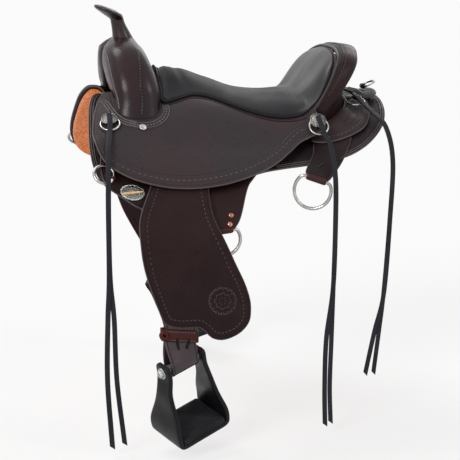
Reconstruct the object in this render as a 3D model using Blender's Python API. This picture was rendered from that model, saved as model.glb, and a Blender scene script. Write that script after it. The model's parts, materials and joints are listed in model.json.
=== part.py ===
"""Trail saddle with horn, padded seat, fenders, stirrups, rigging and saddle strings.

Units are metres. +X points to the cantle, -Y to the near side and +Z up. The origin lies on the
symmetry plane, on the ridge of the horse's back under the lining, at the middle of the skirts.
Leather parts are laid out on the horse's side: x runs along the horse, s is the distance down
from the ridge measured on the back (plus on the near side), and lift is the height over it.
"""

import math

import bmesh
import bpy
from mathutils import Matrix, Vector

# The horse's back that the saddle is shaped to
BACK_RADIUS = 0.310
RIDGE_RISE = 0.032
RIDGE_REACH = 0.310
FALL_START = 0.270
FALL_MIDDLE = 0.340
FALL_END = 0.430
FALL_SLOPE = math.radians(62)
HANG_SLOPE = math.radians(91)

# Side of the shared grid that all leather panels are cut along
CELL = 0.044

# Clearances and leather thicknesses
GAP = 0.0003
EASE = 0.0012
STRAP_EASE = 0.0030
JOCKEY_EASE = 0.0050
LINING_THICK = 0.0140
SKIRT_THICK = 0.0052
PLATE_THICK = 0.0046
BAR_THICK = 0.0136
STRAP_THICK = 0.0040
FENDER_THICK = 0.0040
SEAT_THICK = 0.0045
BACK_JOCKEY_THICK = 0.0044
LINING_INSET = 0.010

# Lifts of the layers over the back, each stacked on the one below
SKIRT_LIFT = LINING_THICK + GAP
BAR_LIFT = SKIRT_LIFT + SKIRT_THICK + GAP
PLATE_LIFT = BAR_LIFT
BAR_TOP = BAR_LIFT + BAR_THICK
STRAP_LIFT = PLATE_LIFT + PLATE_THICK + STRAP_EASE
FENDER_LIFT = STRAP_LIFT + STRAP_THICK + GAP
FLARE = 0.0080
FLARE_START = 0.245
FLARE_RUN = 0.115
JOCKEY_LIFT = FENDER_LIFT + FENDER_THICK + JOCKEY_EASE + SEAT_THICK

# Skirts
SKIRT_REACH = 0.314
SKIRT_DEPTH = 0.300
CHANNEL_HALF = 0.005

# Tree
BAR_FRONT = -0.268
BAR_REAR = 0.214
BAR_INNER = 0.030
BAR_OUTER = 0.132
FORK_X = -0.213
FOOT_S = 0.118
FOOT_HALF_X = 0.042
FOOT_HALF_S = 0.026
COVER_THICK = 0.0040

# Seat
SEAT_FRONT = -0.1635
DISH_LENGTH = 0.080
DISH_POWER = 1.3
PAD_THICK = 0.0140
PAD_EDGE = 0.0045
PAD_BULGE = 0.0100
BULGE_SIDE = 0.085
BULGE_FADE = 0.045
BULGE_REACH = 0.030
BULGE_WIDTH = 0.026
DISH_SHORTER = 0.5
DISH_SIDE = 0.070
DISH_SIDE_RUN = 0.055
SHOULDER_FALL = 0.110
SHOULDER_LEAST = 0.050
LOBE_DROP = 0.0140
LOBE_START = -0.258
LOBE_RUN = 0.045
LOBE_SIDE = 0.165
LOBE_FADE = 0.050
JOCKEY_DEPTH = 0.284

# Cantle
ROLL_HALF_THICK = 0.0095
CANTLE_WALL = 0.020
ROLL_LEAN = 0.0060
ROLL_MEETS = 0.4
ROLL_SIDES = 10
RIM_FADE = 0.016

# Back jockey: how far it stays high behind the bars, and where it comes down at its sides
REAR_CROWN = 0.045
CROWN_SIDE = 0.030
CROWN_FADE = 0.050
JOCKEY_FALL = 0.030

# Horn: front and rear points in x and z and the half width of each section, from its foot up
HORN = [(-0.2435, 0.1680, -0.1975, 0.1660, 0.0230), (-0.2425, 0.1790, -0.2015, 0.1775, 0.0205),
        (-0.2432, 0.1930, -0.2085, 0.1905, 0.0170), (-0.2452, 0.2080, -0.2160, 0.2045, 0.0150),
        (-0.2475, 0.2155, -0.2188, 0.2125, 0.0150), (-0.2600, 0.2245, -0.2195, 0.2155, 0.0215),
        (-0.2745, 0.2352, -0.2203, 0.2180, 0.0280), (-0.2778, 0.2390, -0.2212, 0.2205, 0.0293),
        (-0.2780, 0.2425, -0.2230, 0.2240, 0.0290), (-0.2740, 0.2440, -0.2270, 0.2262, 0.0262),
        (-0.2640, 0.2425, -0.2370, 0.2327, 0.0150)]
HORN_SIDES = 18

# Points that a boolean leaves closer than this are joined
WELD = 0.000004

# Conchos and their rings
CONCHO_RADIUS = 0.0170
CONCHO_POST = 0.0040
CONCHO_STAND = 0.0052
CONCHO_THICK = 0.0022
CONCHO_DOME = 0.0026
CONCHO_RING_RADIUS = 0.0185
CONCHO_RING_WIRE = 0.0018

# Rigging hardware
DEE_WIRE = 0.0034
BREAST_WIRE = 0.0030
CRUPPER_WIRE = 0.0022
SLEEVE_WALL = 0.0026
BORE_EASE = 0.0005

# Fender, stirrup leather and stirrup
PIVOT_X = -0.145
PIVOT_S = 0.245
LEATHER_WIDTH = 0.060
LEATHER_TOP = 0.196
HOBBLE_S = 0.553
HOBBLE_WIDTH = 0.024
BOLT_DROP = 0.042
LEATHER_LEAN = 0.022
ROLLER_RADIUS = 0.0100
BOLT_RADIUS = 0.0040
PIN_RADIUS = 0.0080
PIN_RUNNING = 0.00002
PIN_SIDES = 24
PIN_HEAD = 0.0120
PIN_HEAD_THICK = 0.0014
NECK_WIDTH = 0.072
TREAD_LENGTH = 0.122
TREAD_DEPTH = 0.096
ARM_DEPTH = 0.040
ARM_THICK = 0.0095
STIRRUP_HEIGHT = 0.150
TREAD_THICK = 0.014
PAD_HEIGHT = 0.009
STIRRUP_UP = (-0.171, -0.285, 0.943)
STIRRUP_ALONG = (0.877, 0.394, 0.277)
HOBBLE_WALL = 0.0030
HOBBLE_CORNER = 0.0030
FAR_SWING = math.radians(14)
FAR_TUCK = math.radians(30)

# Saddle strings
STRING_WIDTH = 0.010
STRING_THICK = 0.0036
SECOND_STRING = 0.86

COLOURS = {
    "leather": ((0.050, 0.030, 0.028, 1), 0.42, 0.0),
    "fender": ((0.032, 0.020, 0.021, 1), 0.45, 0.0),
    "seat": ((0.026, 0.026, 0.030, 1), 0.62, 0.0),
    "wood": ((0.300, 0.180, 0.090, 1), 0.60, 0.0),
    "lining": ((0.760, 0.260, 0.080, 1), 0.90, 0.0),
    "hobble": ((0.110, 0.032, 0.025, 1), 0.45, 0.0),
    "black": ((0.018, 0.018, 0.020, 1), 0.50, 0.0),
    "rubber": ((0.020, 0.020, 0.020, 1), 0.75, 0.0),
    "silver": ((0.620, 0.600, 0.560, 1), 0.30, 1.0),
    "steel": ((0.560, 0.570, 0.580, 1), 0.35, 1.0),
    "string": ((0.045, 0.045, 0.052, 1), 0.60, 0.0),
}


# Steps in which the horse's side is followed past the round of the back
SIDE_STEP = 0.004
SIDE_STEPS = 120

# Cantle rim: s, then x and lift of the roll's middle and the roll's half width
RIM = [(0.000, 0.237, 0.131, 0.030), (0.045, 0.229, 0.132, 0.024), (0.085, 0.214, 0.124, 0.021),
       (0.115, 0.184, 0.096, 0.016), (0.138, 0.150, 0.068, 0.010)]
RIM_END = RIM[-1][0]
RIM_PARTS = 8

# Seat floor: x, then the lift at the middle, the lift and the place of its side shoulder
FLOOR = [(-0.315, 0.036, 0.036, 0.095), (-0.270, 0.064, 0.050, 0.095), (-0.220, 0.088, 0.062, 0.095),
         (-0.165, 0.098, 0.070, 0.095), (-0.110, 0.097, 0.079, 0.090), (-0.060, 0.083, 0.076, 0.098),
         (0.000, 0.063, 0.068, 0.118), (0.055, 0.052, 0.0635, 0.132), (0.110, 0.051, 0.0625, 0.138),
         (0.170, 0.052, 0.058, 0.138)]

# Swell arch: share of the way from the top to the foot, then y and z of the middle, x of the
# middle, half length in x, half thickness and the angle of the outward direction in degrees
ARCH = [(0.00, 0.000, 0.1495, -0.2225, 0.0282, 0.0358, 90),
        (0.25, 0.0273, 0.1416, -0.2272, 0.0396, 0.0342, 86),
        (0.50, 0.0619, 0.1243, -0.2232, 0.0432, 0.0442, 54),
        (0.72, 0.0934, 0.0910, -0.2145, 0.0468, 0.0470, 22),
        (0.88, 0.1133, 0.0710, -0.2095, 0.0447, 0.0404, -8)]
ARCH_SQUARE = 2.6
ARCH_SIDES = 16

# Tree bar outline in x and s, from its front end along the inner edge and back along the outer one
BAR = [(BAR_FRONT, 0.085), (BAR_FRONT + 0.020, BAR_INNER + 0.020), (-0.180, BAR_INNER),
       (-0.020, BAR_INNER + 0.014), (0.130, BAR_INNER), (BAR_REAR - 0.012, BAR_INNER + 0.012),
       (BAR_REAR, 0.080), (BAR_REAR - 0.020, 0.124), (0.140, BAR_OUTER - 0.006),
       (-0.020, BAR_OUTER - 0.018), (-0.180, BAR_OUTER), (BAR_FRONT + 0.018, 0.130)]

# Places along the rim, as distances s, where the edges of the leather behind the seat are set out
RIM_STOPS = (0.0, 0.03, 0.06, 0.085, 0.105, 0.122)

# Front and sides of the ground seat in x and s
GROUND_SEAT = [(-0.162, 0), (-0.162, 0.105), (-0.10, 0.100), (-0.04, 0.105), (0.02, 0.125), (0.08, 0.132)]

# Lower edge of the seat leather in x and s, from below the cantle's end forward to the swell
JOCKEY = [(0.149, 0.146), (0.155, 0.158), (0.148, 0.172), (0.119, 0.183), (0.096, 0.192),
          (0.074, 0.209), (0.047, 0.229), (0.013, 0.247), (-0.035, JOCKEY_DEPTH - 0.020),
          (-0.082, JOCKEY_DEPTH - 0.008), (-0.130, JOCKEY_DEPTH - 0.001), (-0.180, JOCKEY_DEPTH),
          (-0.230, JOCKEY_DEPTH - 0.007), (-0.268, JOCKEY_DEPTH - 0.020), (-0.293, JOCKEY_DEPTH - 0.038),
          (-0.305, 0.215), (-0.307, 0.175), (-0.300, 0.130), (-0.287, 0.085), (-0.272, 0.050)]
NOTCH_PARTS = 8

# Edge of the padded seat in x and s, from its front round to its rear
SEAT_PAD = [(-0.160, 0.0), (-0.161, 0.060), (-0.160, 0.103), (-0.128, 0.097), (-0.096, 0.084),
            (-0.064, 0.086), (-0.030, 0.104), (0.010, 0.124), (0.050, 0.138), (0.090, 0.142),
            (0.124, 0.134), (0.156, 0.115), (0.182, 0.088), (0.197, 0.050), (0.202, 0.0)]

# Skirt outline in x and s, from the front of the channel down the front edge and back along it
SKIRT = [(-SKIRT_REACH + 0.059, 0.042), (-SKIRT_REACH + 0.031, 0.052), (-SKIRT_REACH + 0.014, 0.085),
         (-SKIRT_REACH + 0.004, 0.144), (-SKIRT_REACH, 0.200), (-SKIRT_REACH + 0.003, 0.245),
         (-SKIRT_REACH + 0.018, 0.278), (-SKIRT_REACH + 0.052, SKIRT_DEPTH - 0.004), (-0.200, SKIRT_DEPTH),
         (-0.120, SKIRT_DEPTH - 0.012), (-0.050, SKIRT_DEPTH - 0.042), (0.010, SKIRT_DEPTH - 0.065),
         (0.060, SKIRT_DEPTH - 0.073), (0.130, SKIRT_DEPTH - 0.077), (0.190, SKIRT_DEPTH - 0.084),
         (0.231, 0.200), (0.262, 0.176), (0.285, 0.146), (0.299, 0.110), (0.307, 0.070), (0.311, 0.030),
         (0.310, CHANNEL_HALF + 0.001), (0.280, CHANNEL_HALF), (0.160, CHANNEL_HALF + 0.003),
         (0.020, CHANNEL_HALF + 0.010), (-0.120, CHANNEL_HALF + 0.012), (-0.215, CHANNEL_HALF + 0.022)]

# Lower and rear edge of the back jockey in x and s
BACK_JOCKEY = [(0.158, 0.148), (0.135, 0.160), (0.128, 0.174), (0.154, 0.182), (0.188, 0.179),
               (0.218, 0.170), (0.242, 0.156), (0.258, 0.130), (0.270, 0.090), (0.277, 0.040), (0.279, 0.0)]

# Band across the ridge behind the cantle, and the dee on it: bar place, tilt and radius
BAND = [(0.252, 0.0), (0.253, 0.030), (0.262, 0.050), (0.284, 0.056), (0.300, 0.046), (0.306, 0.024)]
CRUPPER_BAR = (0.287, 0.013)
CRUPPER_TILT = math.radians(23)
CRUPPER_RADIUS = 0.0165

# Places of the conchos in x and s
CONCHOS = {"front": (-0.271, 0.148), "middle": (0.137, 0.160), "back": (0.245, 0.066)}

# Rigging plate outline in x and s, clockwise from its upper front corner
PLATE = [(-0.262, 0.162), (-0.288, 0.190), (-0.298, 0.235), (-0.297, 0.270), (-0.284, 0.290),
         (-0.262, 0.303), (-0.236, 0.317), (-0.200, 0.324), (-0.150, 0.326), (-0.112, 0.340),
         (-0.086, 0.352), (-0.060, 0.350), (-0.047, 0.338), (-0.037, 0.318), (-0.024, 0.282),
         (-0.015, 0.262), (0.000, 0.244), (0.016, 0.222), (0.018, 0.190), (-0.004, 0.166),
         (-0.060, 0.158), (-0.160, 0.156)]
CINCH_DEE = ((-0.098, 0.353), (-0.050, 0.346), 0.030)
BREAST_DEE = ((-0.2743, 0.2629), (-0.2817, 0.2771), 0.0195)
REAR_STRAP = [(0.140, 0.166), (0.122, 0.205), (0.100, 0.243), (0.118, 0.256), (0.138, 0.268),
              (0.160, 0.250), (0.186, 0.217), (0.208, 0.166)]
REAR_DEE = ((0.094, 0.2475), (0.143, 0.2735), 0.036)

# Fender outline in x and s, clockwise from its top
FENDER = [(-0.196, 0.226), (-0.203, 0.252), (-0.210, 0.280), (-0.221, 0.305), (-0.232, 0.330),
          (-0.239, 0.358), (-0.238, 0.390), (-0.234, 0.413), (-0.226, 0.441), (-0.213, 0.478),
          (-0.203, 0.503), (-0.194, 0.518), (-0.170, 0.524), (-0.140, 0.522), (-0.128, 0.522),
          (-0.117, 0.532), (-0.106, 0.542), (-0.088, 0.546), (-0.068, 0.541), (-0.048, 0.529),
          (-0.034, 0.510), (-0.031, 0.486), (-0.034, 0.462), (-0.046, 0.428), (-0.064, 0.396),
          (-0.086, 0.356), (-0.096, 0.330), (-0.099, 0.300), (-0.098, 0.264), (-0.100, 0.226)]

# Oval plate on the rigging: place, half lengths, tilt and thickness, and the place of the seat screw
OVAL_PLATE = (-0.243, 0.291)
OVAL_HALF = (0.0245, 0.0155)
OVAL_TILT = 0.10
OVAL_THICK = 0.0024
SCREW = (-0.209, 0.162)

# Each string's way over the leather (forward, down, and the height there or what it lies over),
# then its two tails as world points from where it hangs free
STRING_ROUTES = {
    "front": ([(0, -0.006, "face"), (0, 0.014, "face"), (-0.003, 0.036, "ring"), (-0.008, 0.062, 0.0085),
               (-0.013, 0.090, 0.0100)],
              [[(-0.289, -0.280, -0.062), (-0.291, -0.288, -0.120), (-0.292, -0.288, -0.250),
                (-0.296, -0.288, -0.330), (-0.299, -0.288, -0.450), (-0.292, -0.288, -0.585)],
               [(-0.289, -0.280, -0.062), (-0.291, -0.288, -0.120), (-0.290, -0.288, -0.250),
                (-0.284, -0.288, -0.330), (-0.281, -0.288, -0.450), (-0.268, -0.288, -0.580)]]),
    "middle": ([(0, -0.006, "face"), (0.003, 0.014, "face"), (0.007, 0.036, "ring")],
               [[(0.150, -0.232, -0.020), (0.153, -0.260, -0.080), (0.153, -0.265, -0.180),
                 (0.150, -0.265, -0.300), (0.138, -0.265, -0.400), (0.136, -0.265, -0.500),
                 (0.138, -0.265, -0.580)],
                [(0.150, -0.232, -0.020), (0.153, -0.260, -0.080), (0.153, -0.265, -0.180),
                 (0.151, -0.265, -0.300), (0.149, -0.265, -0.400), (0.147, -0.265, -0.500),
                 (0.150, -0.265, -0.576)]]),
    "back": ([(0, -0.006, "face"), (0.003, 0.014, "face"), (0.009, 0.036, "ring"), (0.019, 0.064, 0.0085)],
             [[(0.278, -0.184, 0.006), (0.289, -0.200, -0.060), (0.285, -0.203, -0.180),
               (0.276, -0.203, -0.330), (0.258, -0.203, -0.410), (0.240, -0.203, -0.500)],
              [(0.278, -0.184, 0.006), (0.289, -0.200, -0.060), (0.285, -0.203, -0.180),
               (0.276, -0.203, -0.330), (0.268, -0.203, -0.410), (0.258, -0.203, -0.500)]]),
}

# Sections of the stirrup's frame and of its rubber pad, as shares of their half sizes
ARM_SECTION = ((-1, -0.5), (-0.96, -1), (0.96, -1), (1, -0.5), (1, 0.5), (0.96, 1), (-0.96, 1), (-1, 0.5))
PAD_SECTION = ((-1, -0.72), (-0.80, -1), (0.80, -1), (1, -0.72),
               (1, 0.72), (0.80, 1), (-0.80, 1), (-1, 0.72))

# Faces that meet at more than this keep a sharp edge
SHARP = math.radians(40)


def clear_scene():
    """Remove what the file opened with."""
    for old in list(bpy.data.objects):
        bpy.data.objects.remove(old, do_unlink=True)


def smooth(t):
    """Ease from 0 to 1."""
    t = min(max(t, 0.0), 1.0)
    return t * t * (3 - 2 * t)


def curve_at(points, key):
    """Smooth curve through tuples sorted by their first value, read at that value."""
    last = len(points) - 1
    if key <= points[0][0]:
        return points[0][1:]
    if key >= points[last][0]:
        return points[last][1:]
    i = next(k for k in range(last) if key <= points[k + 1][0])
    a, b = points[i], points[i + 1]
    before, after = points[max(i - 1, 0)], points[min(i + 2, last)]
    span = b[0] - a[0]
    t = (key - a[0]) / span
    out = []
    for c in range(1, len(a)):
        rise_a = (b[c] - before[c]) / (b[0] - before[0]) * span
        rise_b = (after[c] - a[c]) / (after[0] - a[0]) * span
        out.append((2 * t**3 - 3 * t**2 + 1) * a[c] + (t**3 - 2 * t**2 + t) * rise_a
                   + (3 * t**2 - 2 * t**3) * b[c] + (t**3 - t**2) * rise_b)
    return tuple(out)


def bend(points, step, closed=False):
    """Smooth curve through points, sampled about every step."""
    pts = [Vector(p) for p in points]
    count = len(pts)
    out = []
    for i in range(count if closed else count - 1):
        a, b = pts[i], pts[(i + 1) % count]
        before = pts[i - 1] if closed or i > 0 else a - (b - a)
        after = pts[(i + 2) % count] if closed or i + 2 < count else b + (b - a)
        parts = max(1, round((b - a).length / step))
        for k in range(parts):
            t = k / parts
            out.append(0.5 * (2 * a + (b - before) * t + (2 * before - 5 * a + 4 * b - after) * t**2
                              + (3 * a - before - 3 * b + after) * t**3))
    if not closed:
        out.append(pts[-1])
    return out


def ridge(x):
    """Height of the back's ridge line."""
    return RIDGE_RISE * (x / RIDGE_REACH)**2


def slope_at(s):
    """Slope of the horse's side at distance s from the ridge."""
    middle = (FALL_SLOPE - FALL_START / BACK_RADIUS) * smooth((s - FALL_START) / (FALL_MIDDLE - FALL_START))
    low = (HANG_SLOPE - FALL_SLOPE) * smooth((s - FALL_MIDDLE) / (FALL_END - FALL_MIDDLE))
    return min(s, FALL_START) / BACK_RADIUS + middle + low


def side_curve():
    """Reach and drop of the horse's side at even steps of s, past the round of the back."""
    turn = FALL_START / BACK_RADIUS
    out = [(BACK_RADIUS * math.sin(turn), BACK_RADIUS * (math.cos(turn) - 1))]
    for i in range(SIDE_STEPS):
        slope = slope_at(FALL_START + (i + 0.5) * SIDE_STEP)
        reach, drop = out[-1]
        out.append((reach + SIDE_STEP * math.cos(slope), drop - SIDE_STEP * math.sin(slope)))
    return out


SIDE = side_curve()


def place(x, s, lift):
    """World point at x, distance s down the back and lift over it."""
    side = -1 if s >= 0 else 1
    s = abs(s)
    slope = slope_at(s)
    if s <= FALL_START:
        reach, drop = BACK_RADIUS * math.sin(slope), BACK_RADIUS * (math.cos(slope) - 1)
    else:
        at = (s - FALL_START) / SIDE_STEP
        k = min(int(at), SIDE_STEPS - 1)
        reach = SIDE[k][0] + (SIDE[k + 1][0] - SIDE[k][0]) * (at - k)
        drop = SIDE[k][1] + (SIDE[k + 1][1] - SIDE[k][1]) * (at - k)
    return Vector((x, side * (reach + lift * math.sin(slope)), drop + lift * math.cos(slope) + ridge(x)))


def flared(lift):
    """Lift of a piece that stands off further down the side, clear of the rigging as it swings."""
    return lambda x, s: lift + FLARE * smooth((abs(s) - FLARE_START) / FLARE_RUN)


def on_grid(x, s, lift):
    """Point of the faceted leather: straight between the corners of one shared triangular grid."""
    across = abs(s)
    column, row = math.floor(x / CELL), math.floor(across / CELL)
    u, v = x / CELL - column, across / CELL - row
    corners = [(0, 0, 1 - max(u, v)), (1, 1, min(u, v))]
    corners.append((1, 0, u - v) if u > v else (0, 1, v - u))
    point = Vector()
    for right, down, share in corners:
        at = (CELL * (column + right), CELL * (row + down))
        point += share * place(at[0], at[1], lift(*at) if callable(lift) else lift)
    return point if s >= 0 else Vector((point.x, -point.y, point.z))


def out_of(s):
    """Direction straight out of the back at s."""
    side = -1 if s >= 0 else 1
    slope = slope_at(abs(s))
    return Vector((0, side * math.sin(slope), math.cos(slope)))


def down_from(s):
    """Direction down the back at s."""
    side = -1 if s >= 0 else 1
    slope = slope_at(abs(s))
    return Vector((0, side * math.cos(slope), -math.sin(slope)))


def finish_mesh(name, verts, faces, kind, origin=None, parent=None):
    """Object from points and faces, with its faces turned out and its own material."""
    origin = Vector(origin) if origin is not None else Vector()
    bm = bmesh.new()
    made = [bm.verts.new(Vector(v) - origin) for v in verts]
    for face in faces:
        corners = [made[i] for i in face]
        if len(corners) == 4:
            bm.faces.new(corners[:3])
            bm.faces.new([corners[0]] + corners[2:])
        else:
            bm.faces.new(corners)
    bmesh.ops.triangulate(bm, faces=[f for f in bm.faces if len(f.verts) > 4])
    bmesh.ops.recalc_face_normals(bm, faces=bm.faces[:])
    mesh = bpy.data.meshes.new(name)
    bm.to_mesh(mesh)
    bm.free()
    obj = bpy.data.objects.new(name, mesh)
    bpy.context.scene.collection.objects.link(obj)
    obj.location = origin
    obj.parent = parent
    colour, rough, metal = COLOURS[kind]
    material = bpy.data.materials.new(name)
    material.use_nodes = True
    shader = material.node_tree.nodes["Principled BSDF"]
    shader.inputs["Base Color"].default_value = colour
    shader.inputs["Roughness"].default_value = rough
    shader.inputs["Metallic"].default_value = metal
    mesh.materials.append(material)
    mesh.shade_smooth()
    mesh.set_sharp_from_angle(angle=SHARP)
    return obj


def flat_mesh(outline):
    """Outline in x and s cut along the shared grid, as points, faces and rim edges."""
    bm = bmesh.new()
    bm.faces.new([bm.verts.new((p[0], p[1], 0)) for p in outline])
    for way, side in (((1, 0, 0), 0), ((0, 1, 0), 0), ((1, -1, 0), 1), ((1, 1, 0), -1)):
        way = Vector(way)
        reach = [way.dot(Vector((p[0], p[1], 0))) for p in outline]
        for k in range(math.ceil(min(reach) / CELL), math.floor(max(reach) / CELL) + 1):
            half = [f for f in bm.faces if side * f.calc_center_bounds().y >= 0]
            half += list({e for f in half for e in f.edges}) + list({v for f in half for v in f.verts})
            bmesh.ops.bisect_plane(bm, geom=half, dist=1e-5, plane_co=way * (k * CELL / way.length_squared),
                                   plane_no=way)
    bmesh.ops.triangulate(bm, faces=bm.faces[:])
    bm.verts.index_update()
    points = [(v.co.x, v.co.y) for v in bm.verts]
    faces = [[v.index for v in f.verts] for f in bm.faces]
    rim = [(e.link_loops[0].vert.index, e.link_loops[0].link_loop_next.vert.index)
           for e in bm.edges if len(e.link_faces) == 1]
    bm.free()
    return points, faces, rim


def sheet(name, outline, under, over, kind, origin=None):
    """Panel cut to an outline in x and s, between two lifts that are numbers or functions."""
    points, faces, rim = flat_mesh(outline)
    count = len(points)
    verts = [on_grid(x, s, over) for x, s in points] + [on_grid(x, s, under) for x, s in points]
    shell = list(faces) + [[i + count for i in reversed(f)] for f in faces]
    shell += [[b, a, a + count, b + count] for a, b in rim]
    return finish_mesh(name, verts, shell, kind, origin)


def loft(rings, closed=False):
    """Points and faces of a skin over rings of equal count, with filled ends unless closed."""
    count = len(rings[0])
    verts = [p for ring in rings for p in ring]
    faces = []
    spans = len(rings) if closed else len(rings) - 1
    for r in range(spans):
        a, b = r * count, (r + 1) % len(rings) * count
        faces += [[a + k, a + (k + 1) % count, b + (k + 1) % count, b + k] for k in range(count)]
    if not closed:
        faces.append(list(range(count - 1, -1, -1)))
        faces.append([(len(rings) - 1) * count + k for k in range(count)])
    return verts, faces


def sleeve_loft(outer, inner):
    """Points and faces of a wall between two lofts of the same rings, open at both ends."""
    count = len(outer[0])
    verts, faces = loft(outer)
    inside, skin = loft(inner)
    shift = len(verts)
    faces = faces[:-2] + [[i + shift for i in f] for f in skin[:-2]]
    for first in (0, (len(outer) - 1) * count):
        faces += [[first + k, first + (k + 1) % count, shift + first + (k + 1) % count, shift + first + k]
                  for k in range(count)]
    return verts + inside, faces


def lathe(name, centre, axis, profile, kind, sides=20, parent=None, origin=None):
    """Turned piece: profile of (radius, height) from its lower end to its upper end."""
    turn = Vector((0, 0, 1)).rotation_difference(axis).to_matrix()
    rings = []
    for radius, height in profile:
        rings.append([centre + turn @ Vector((radius * math.cos(2 * math.pi * k / sides),
                                              radius * math.sin(2 * math.pi * k / sides), height))
                      for k in range(sides)])
    verts, faces = loft(rings)
    return finish_mesh(name, verts, faces, kind, origin, parent)


def wire_loop(path, radius, sides):
    """Points and faces of a closed round wire along a flat closed path."""
    count = len(path)
    normal = sum(((path[i] - path[i - 1]).cross(path[(i + 1) % count] - path[i]) for i in range(count)),
                 Vector()).normalized()
    rings = []
    for i, p in enumerate(path):
        along = (path[(i + 1) % count] - path[i - 1]).normalized()
        out = along.cross(normal)
        rings.append([p + radius * (math.cos(2 * math.pi * k / sides) * out
                                    + math.sin(2 * math.pi * k / sides) * normal) for k in range(sides)])
    return loft(rings, closed=True)


def dee_path(start, end, drop, radius, arc_parts=13):
    """Straight bar between two points and a round bow of the given radius that hangs from it."""
    middle, half = (start + end) / 2, (end - start) / 2
    drop, along = drop.normalized(), half.normalized()
    to_centre = math.sqrt(radius**2 - half.length**2)
    centre = middle + drop * to_centre
    first = math.acos(to_centre / radius)
    path = [middle - 0.5 * half, middle, middle + 0.5 * half]
    for k in range(arc_parts + 1):
        turn = first + (2 * math.pi - 2 * first) * k / arc_parts
        path.append(centre - drop * radius * math.cos(turn) + along * radius * math.sin(turn))
    return path


def strip(path, widths, normals, width, thick):
    """Points and faces of a flat strap: path points, width directions and face normals."""
    rings = []
    for i, p in enumerate(path):
        across = widths[i] * (width[i] if isinstance(width, list) else width) / 2
        out = normals[i] * thick / 2
        rings.append([p - across - out, p + across - out, p + across + out, p - across + out])
    return loft(rings)


def cut(obj, cutter, operation="DIFFERENCE"):
    """Boolean with an exact solver; the cutter is then removed."""
    for piece in (obj, cutter):
        piece.data.update()
    change = obj.modifiers.new("cut", "BOOLEAN")
    change.operation = operation
    change.solver = "EXACT"
    change.object = cutter
    bpy.context.view_layer.update()
    done = bpy.data.meshes.new_from_object(obj.evaluated_get(bpy.context.evaluated_depsgraph_get()))
    obj.modifiers.clear()
    obj.data = done
    bpy.data.objects.remove(cutter, do_unlink=True)
    bm = bmesh.new()
    bm.from_mesh(done)
    bmesh.ops.remove_doubles(bm, verts=bm.verts[:], dist=WELD)
    bmesh.ops.dissolve_degenerate(bm, dist=WELD, edges=bm.edges[:])
    bm.to_mesh(done)
    bm.free()
    done.shade_smooth()
    done.set_sharp_from_angle(angle=SHARP)


def tube_between(name, start, end, radius, sides=12):
    """Plain round bar, used to cut bores and to add sleeves."""
    axis = end - start
    return lathe(name, start, axis.normalized(), [(radius, 0), (radius, axis.length)], "steel", sides)


def inset(outline, distance):
    """Outline moved inwards by a distance."""
    count = len(outline)
    area = sum(outline[i - 1][0] * outline[i][1] - outline[i][0] * outline[i - 1][1] for i in range(count))
    turn = 1 if area > 0 else -1
    out = []
    for i in range(count):
        along = Vector(outline[(i + 1) % count][:2]) - Vector(outline[i - 1][:2])
        along.normalize()
        out.append((outline[i][0] - turn * along[1] * distance, outline[i][1] + turn * along[0] * distance))
    return out


def cut_out(points, step=0.02, side=1):
    """Closed outline through control points in x and s, mirrored for the far side."""
    return [(p[0], side * p[1]) for p in bend([(x, s, 0) for x, s in points], step, closed=True)]


def rim_front(s):
    """Place x of the front edge of the cantle roll."""
    x, lift, half = curve_at(RIM, abs(s))
    return x - half


def seat_lift(x, s):
    """Top of the seat leather: dished seat, shoulders, and jockeys lying down the sides."""
    s = abs(s)
    middle, side, shoulder = curve_at(FLOOR, x)
    if s < shoulder:
        floor = middle + (side - middle) * smooth(s / shoulder)
    else:
        fall = max(SHOULDER_FALL - (shoulder - FLOOR[0][3]), SHOULDER_LEAST)
        drop = LOBE_DROP * smooth((LOBE_START - x) / LOBE_RUN) * (1 - smooth((s - LOBE_SIDE) / LOBE_FADE))
        low = JOCKEY_LIFT - drop
        floor = low + (side - low) * (1 - smooth((s - shoulder) / fall))
    rim_x, rim_lift, half = curve_at(RIM, s)
    length = DISH_LENGTH * (1 - DISH_SHORTER * smooth((s - DISH_SIDE) / DISH_SIDE_RUN))
    climb = min(max((x - (rim_x - half - length)) / length, 0), 1)**DISH_POWER
    fade = 1 - smooth((s - RIM_END + 0.006) / RIM_FADE)
    return floor + (rim_lift + ROLL_HALF_THICK * ROLL_MEETS + ROLL_LEAN - floor) * climb * fade


def cover_foot(x, s):
    """Lift of the swell cover's feet, just clear of the seat leather."""
    return seat_lift(x, s) + EASE


def foot_ring(shrink, lift, sides=ARCH_SIDES):
    """Near swell foot at a lift: an oval in x and s, narrowed by shrink."""
    out = []
    for k in range(sides):
        turn = 2 * math.pi * k / sides
        out.append(on_grid(FORK_X + (FOOT_HALF_X - shrink) * math.cos(turn),
                           FOOT_S + (FOOT_HALF_S - shrink) * math.sin(turn), lift))
    return out


def arch_ring(t, side, shrink, sides=ARCH_SIDES):
    """Section of the swell at share t down one side."""
    y, z, x, half, thick, angle = curve_at(ARCH, t)
    angle = math.radians(angle)
    out = Vector((0, -side * math.cos(angle), math.sin(angle)))
    centre = Vector((x, -side * y, z))
    ring = []
    for k in range(sides):
        turn = 2 * math.pi * k / sides
        c, d = math.cos(turn), math.sin(turn)
        square = (abs(c)**ARCH_SQUARE + abs(d)**ARCH_SQUARE)**(-1 / ARCH_SQUARE)
        ring.append(centre + Vector((1, 0, 0)) * (half - shrink) * c * square
                    + out * (thick - shrink) * d * square)
    return ring


def arch_rings(shrink, foot, steps=5):
    """Sections of the swell from the near foot over the top to the far foot."""
    shares = [ARCH[-1][0] * (1 - k / steps) for k in range(steps)]
    far = [Vector((p.x, -p.y, p.z)) for p in foot]
    rings = [foot] + [arch_ring(t, 1, shrink) for t in shares] + [arch_ring(0, 1, shrink)]
    return rings + [arch_ring(t, -1, shrink) for t in reversed(shares)] + [far]


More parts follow.
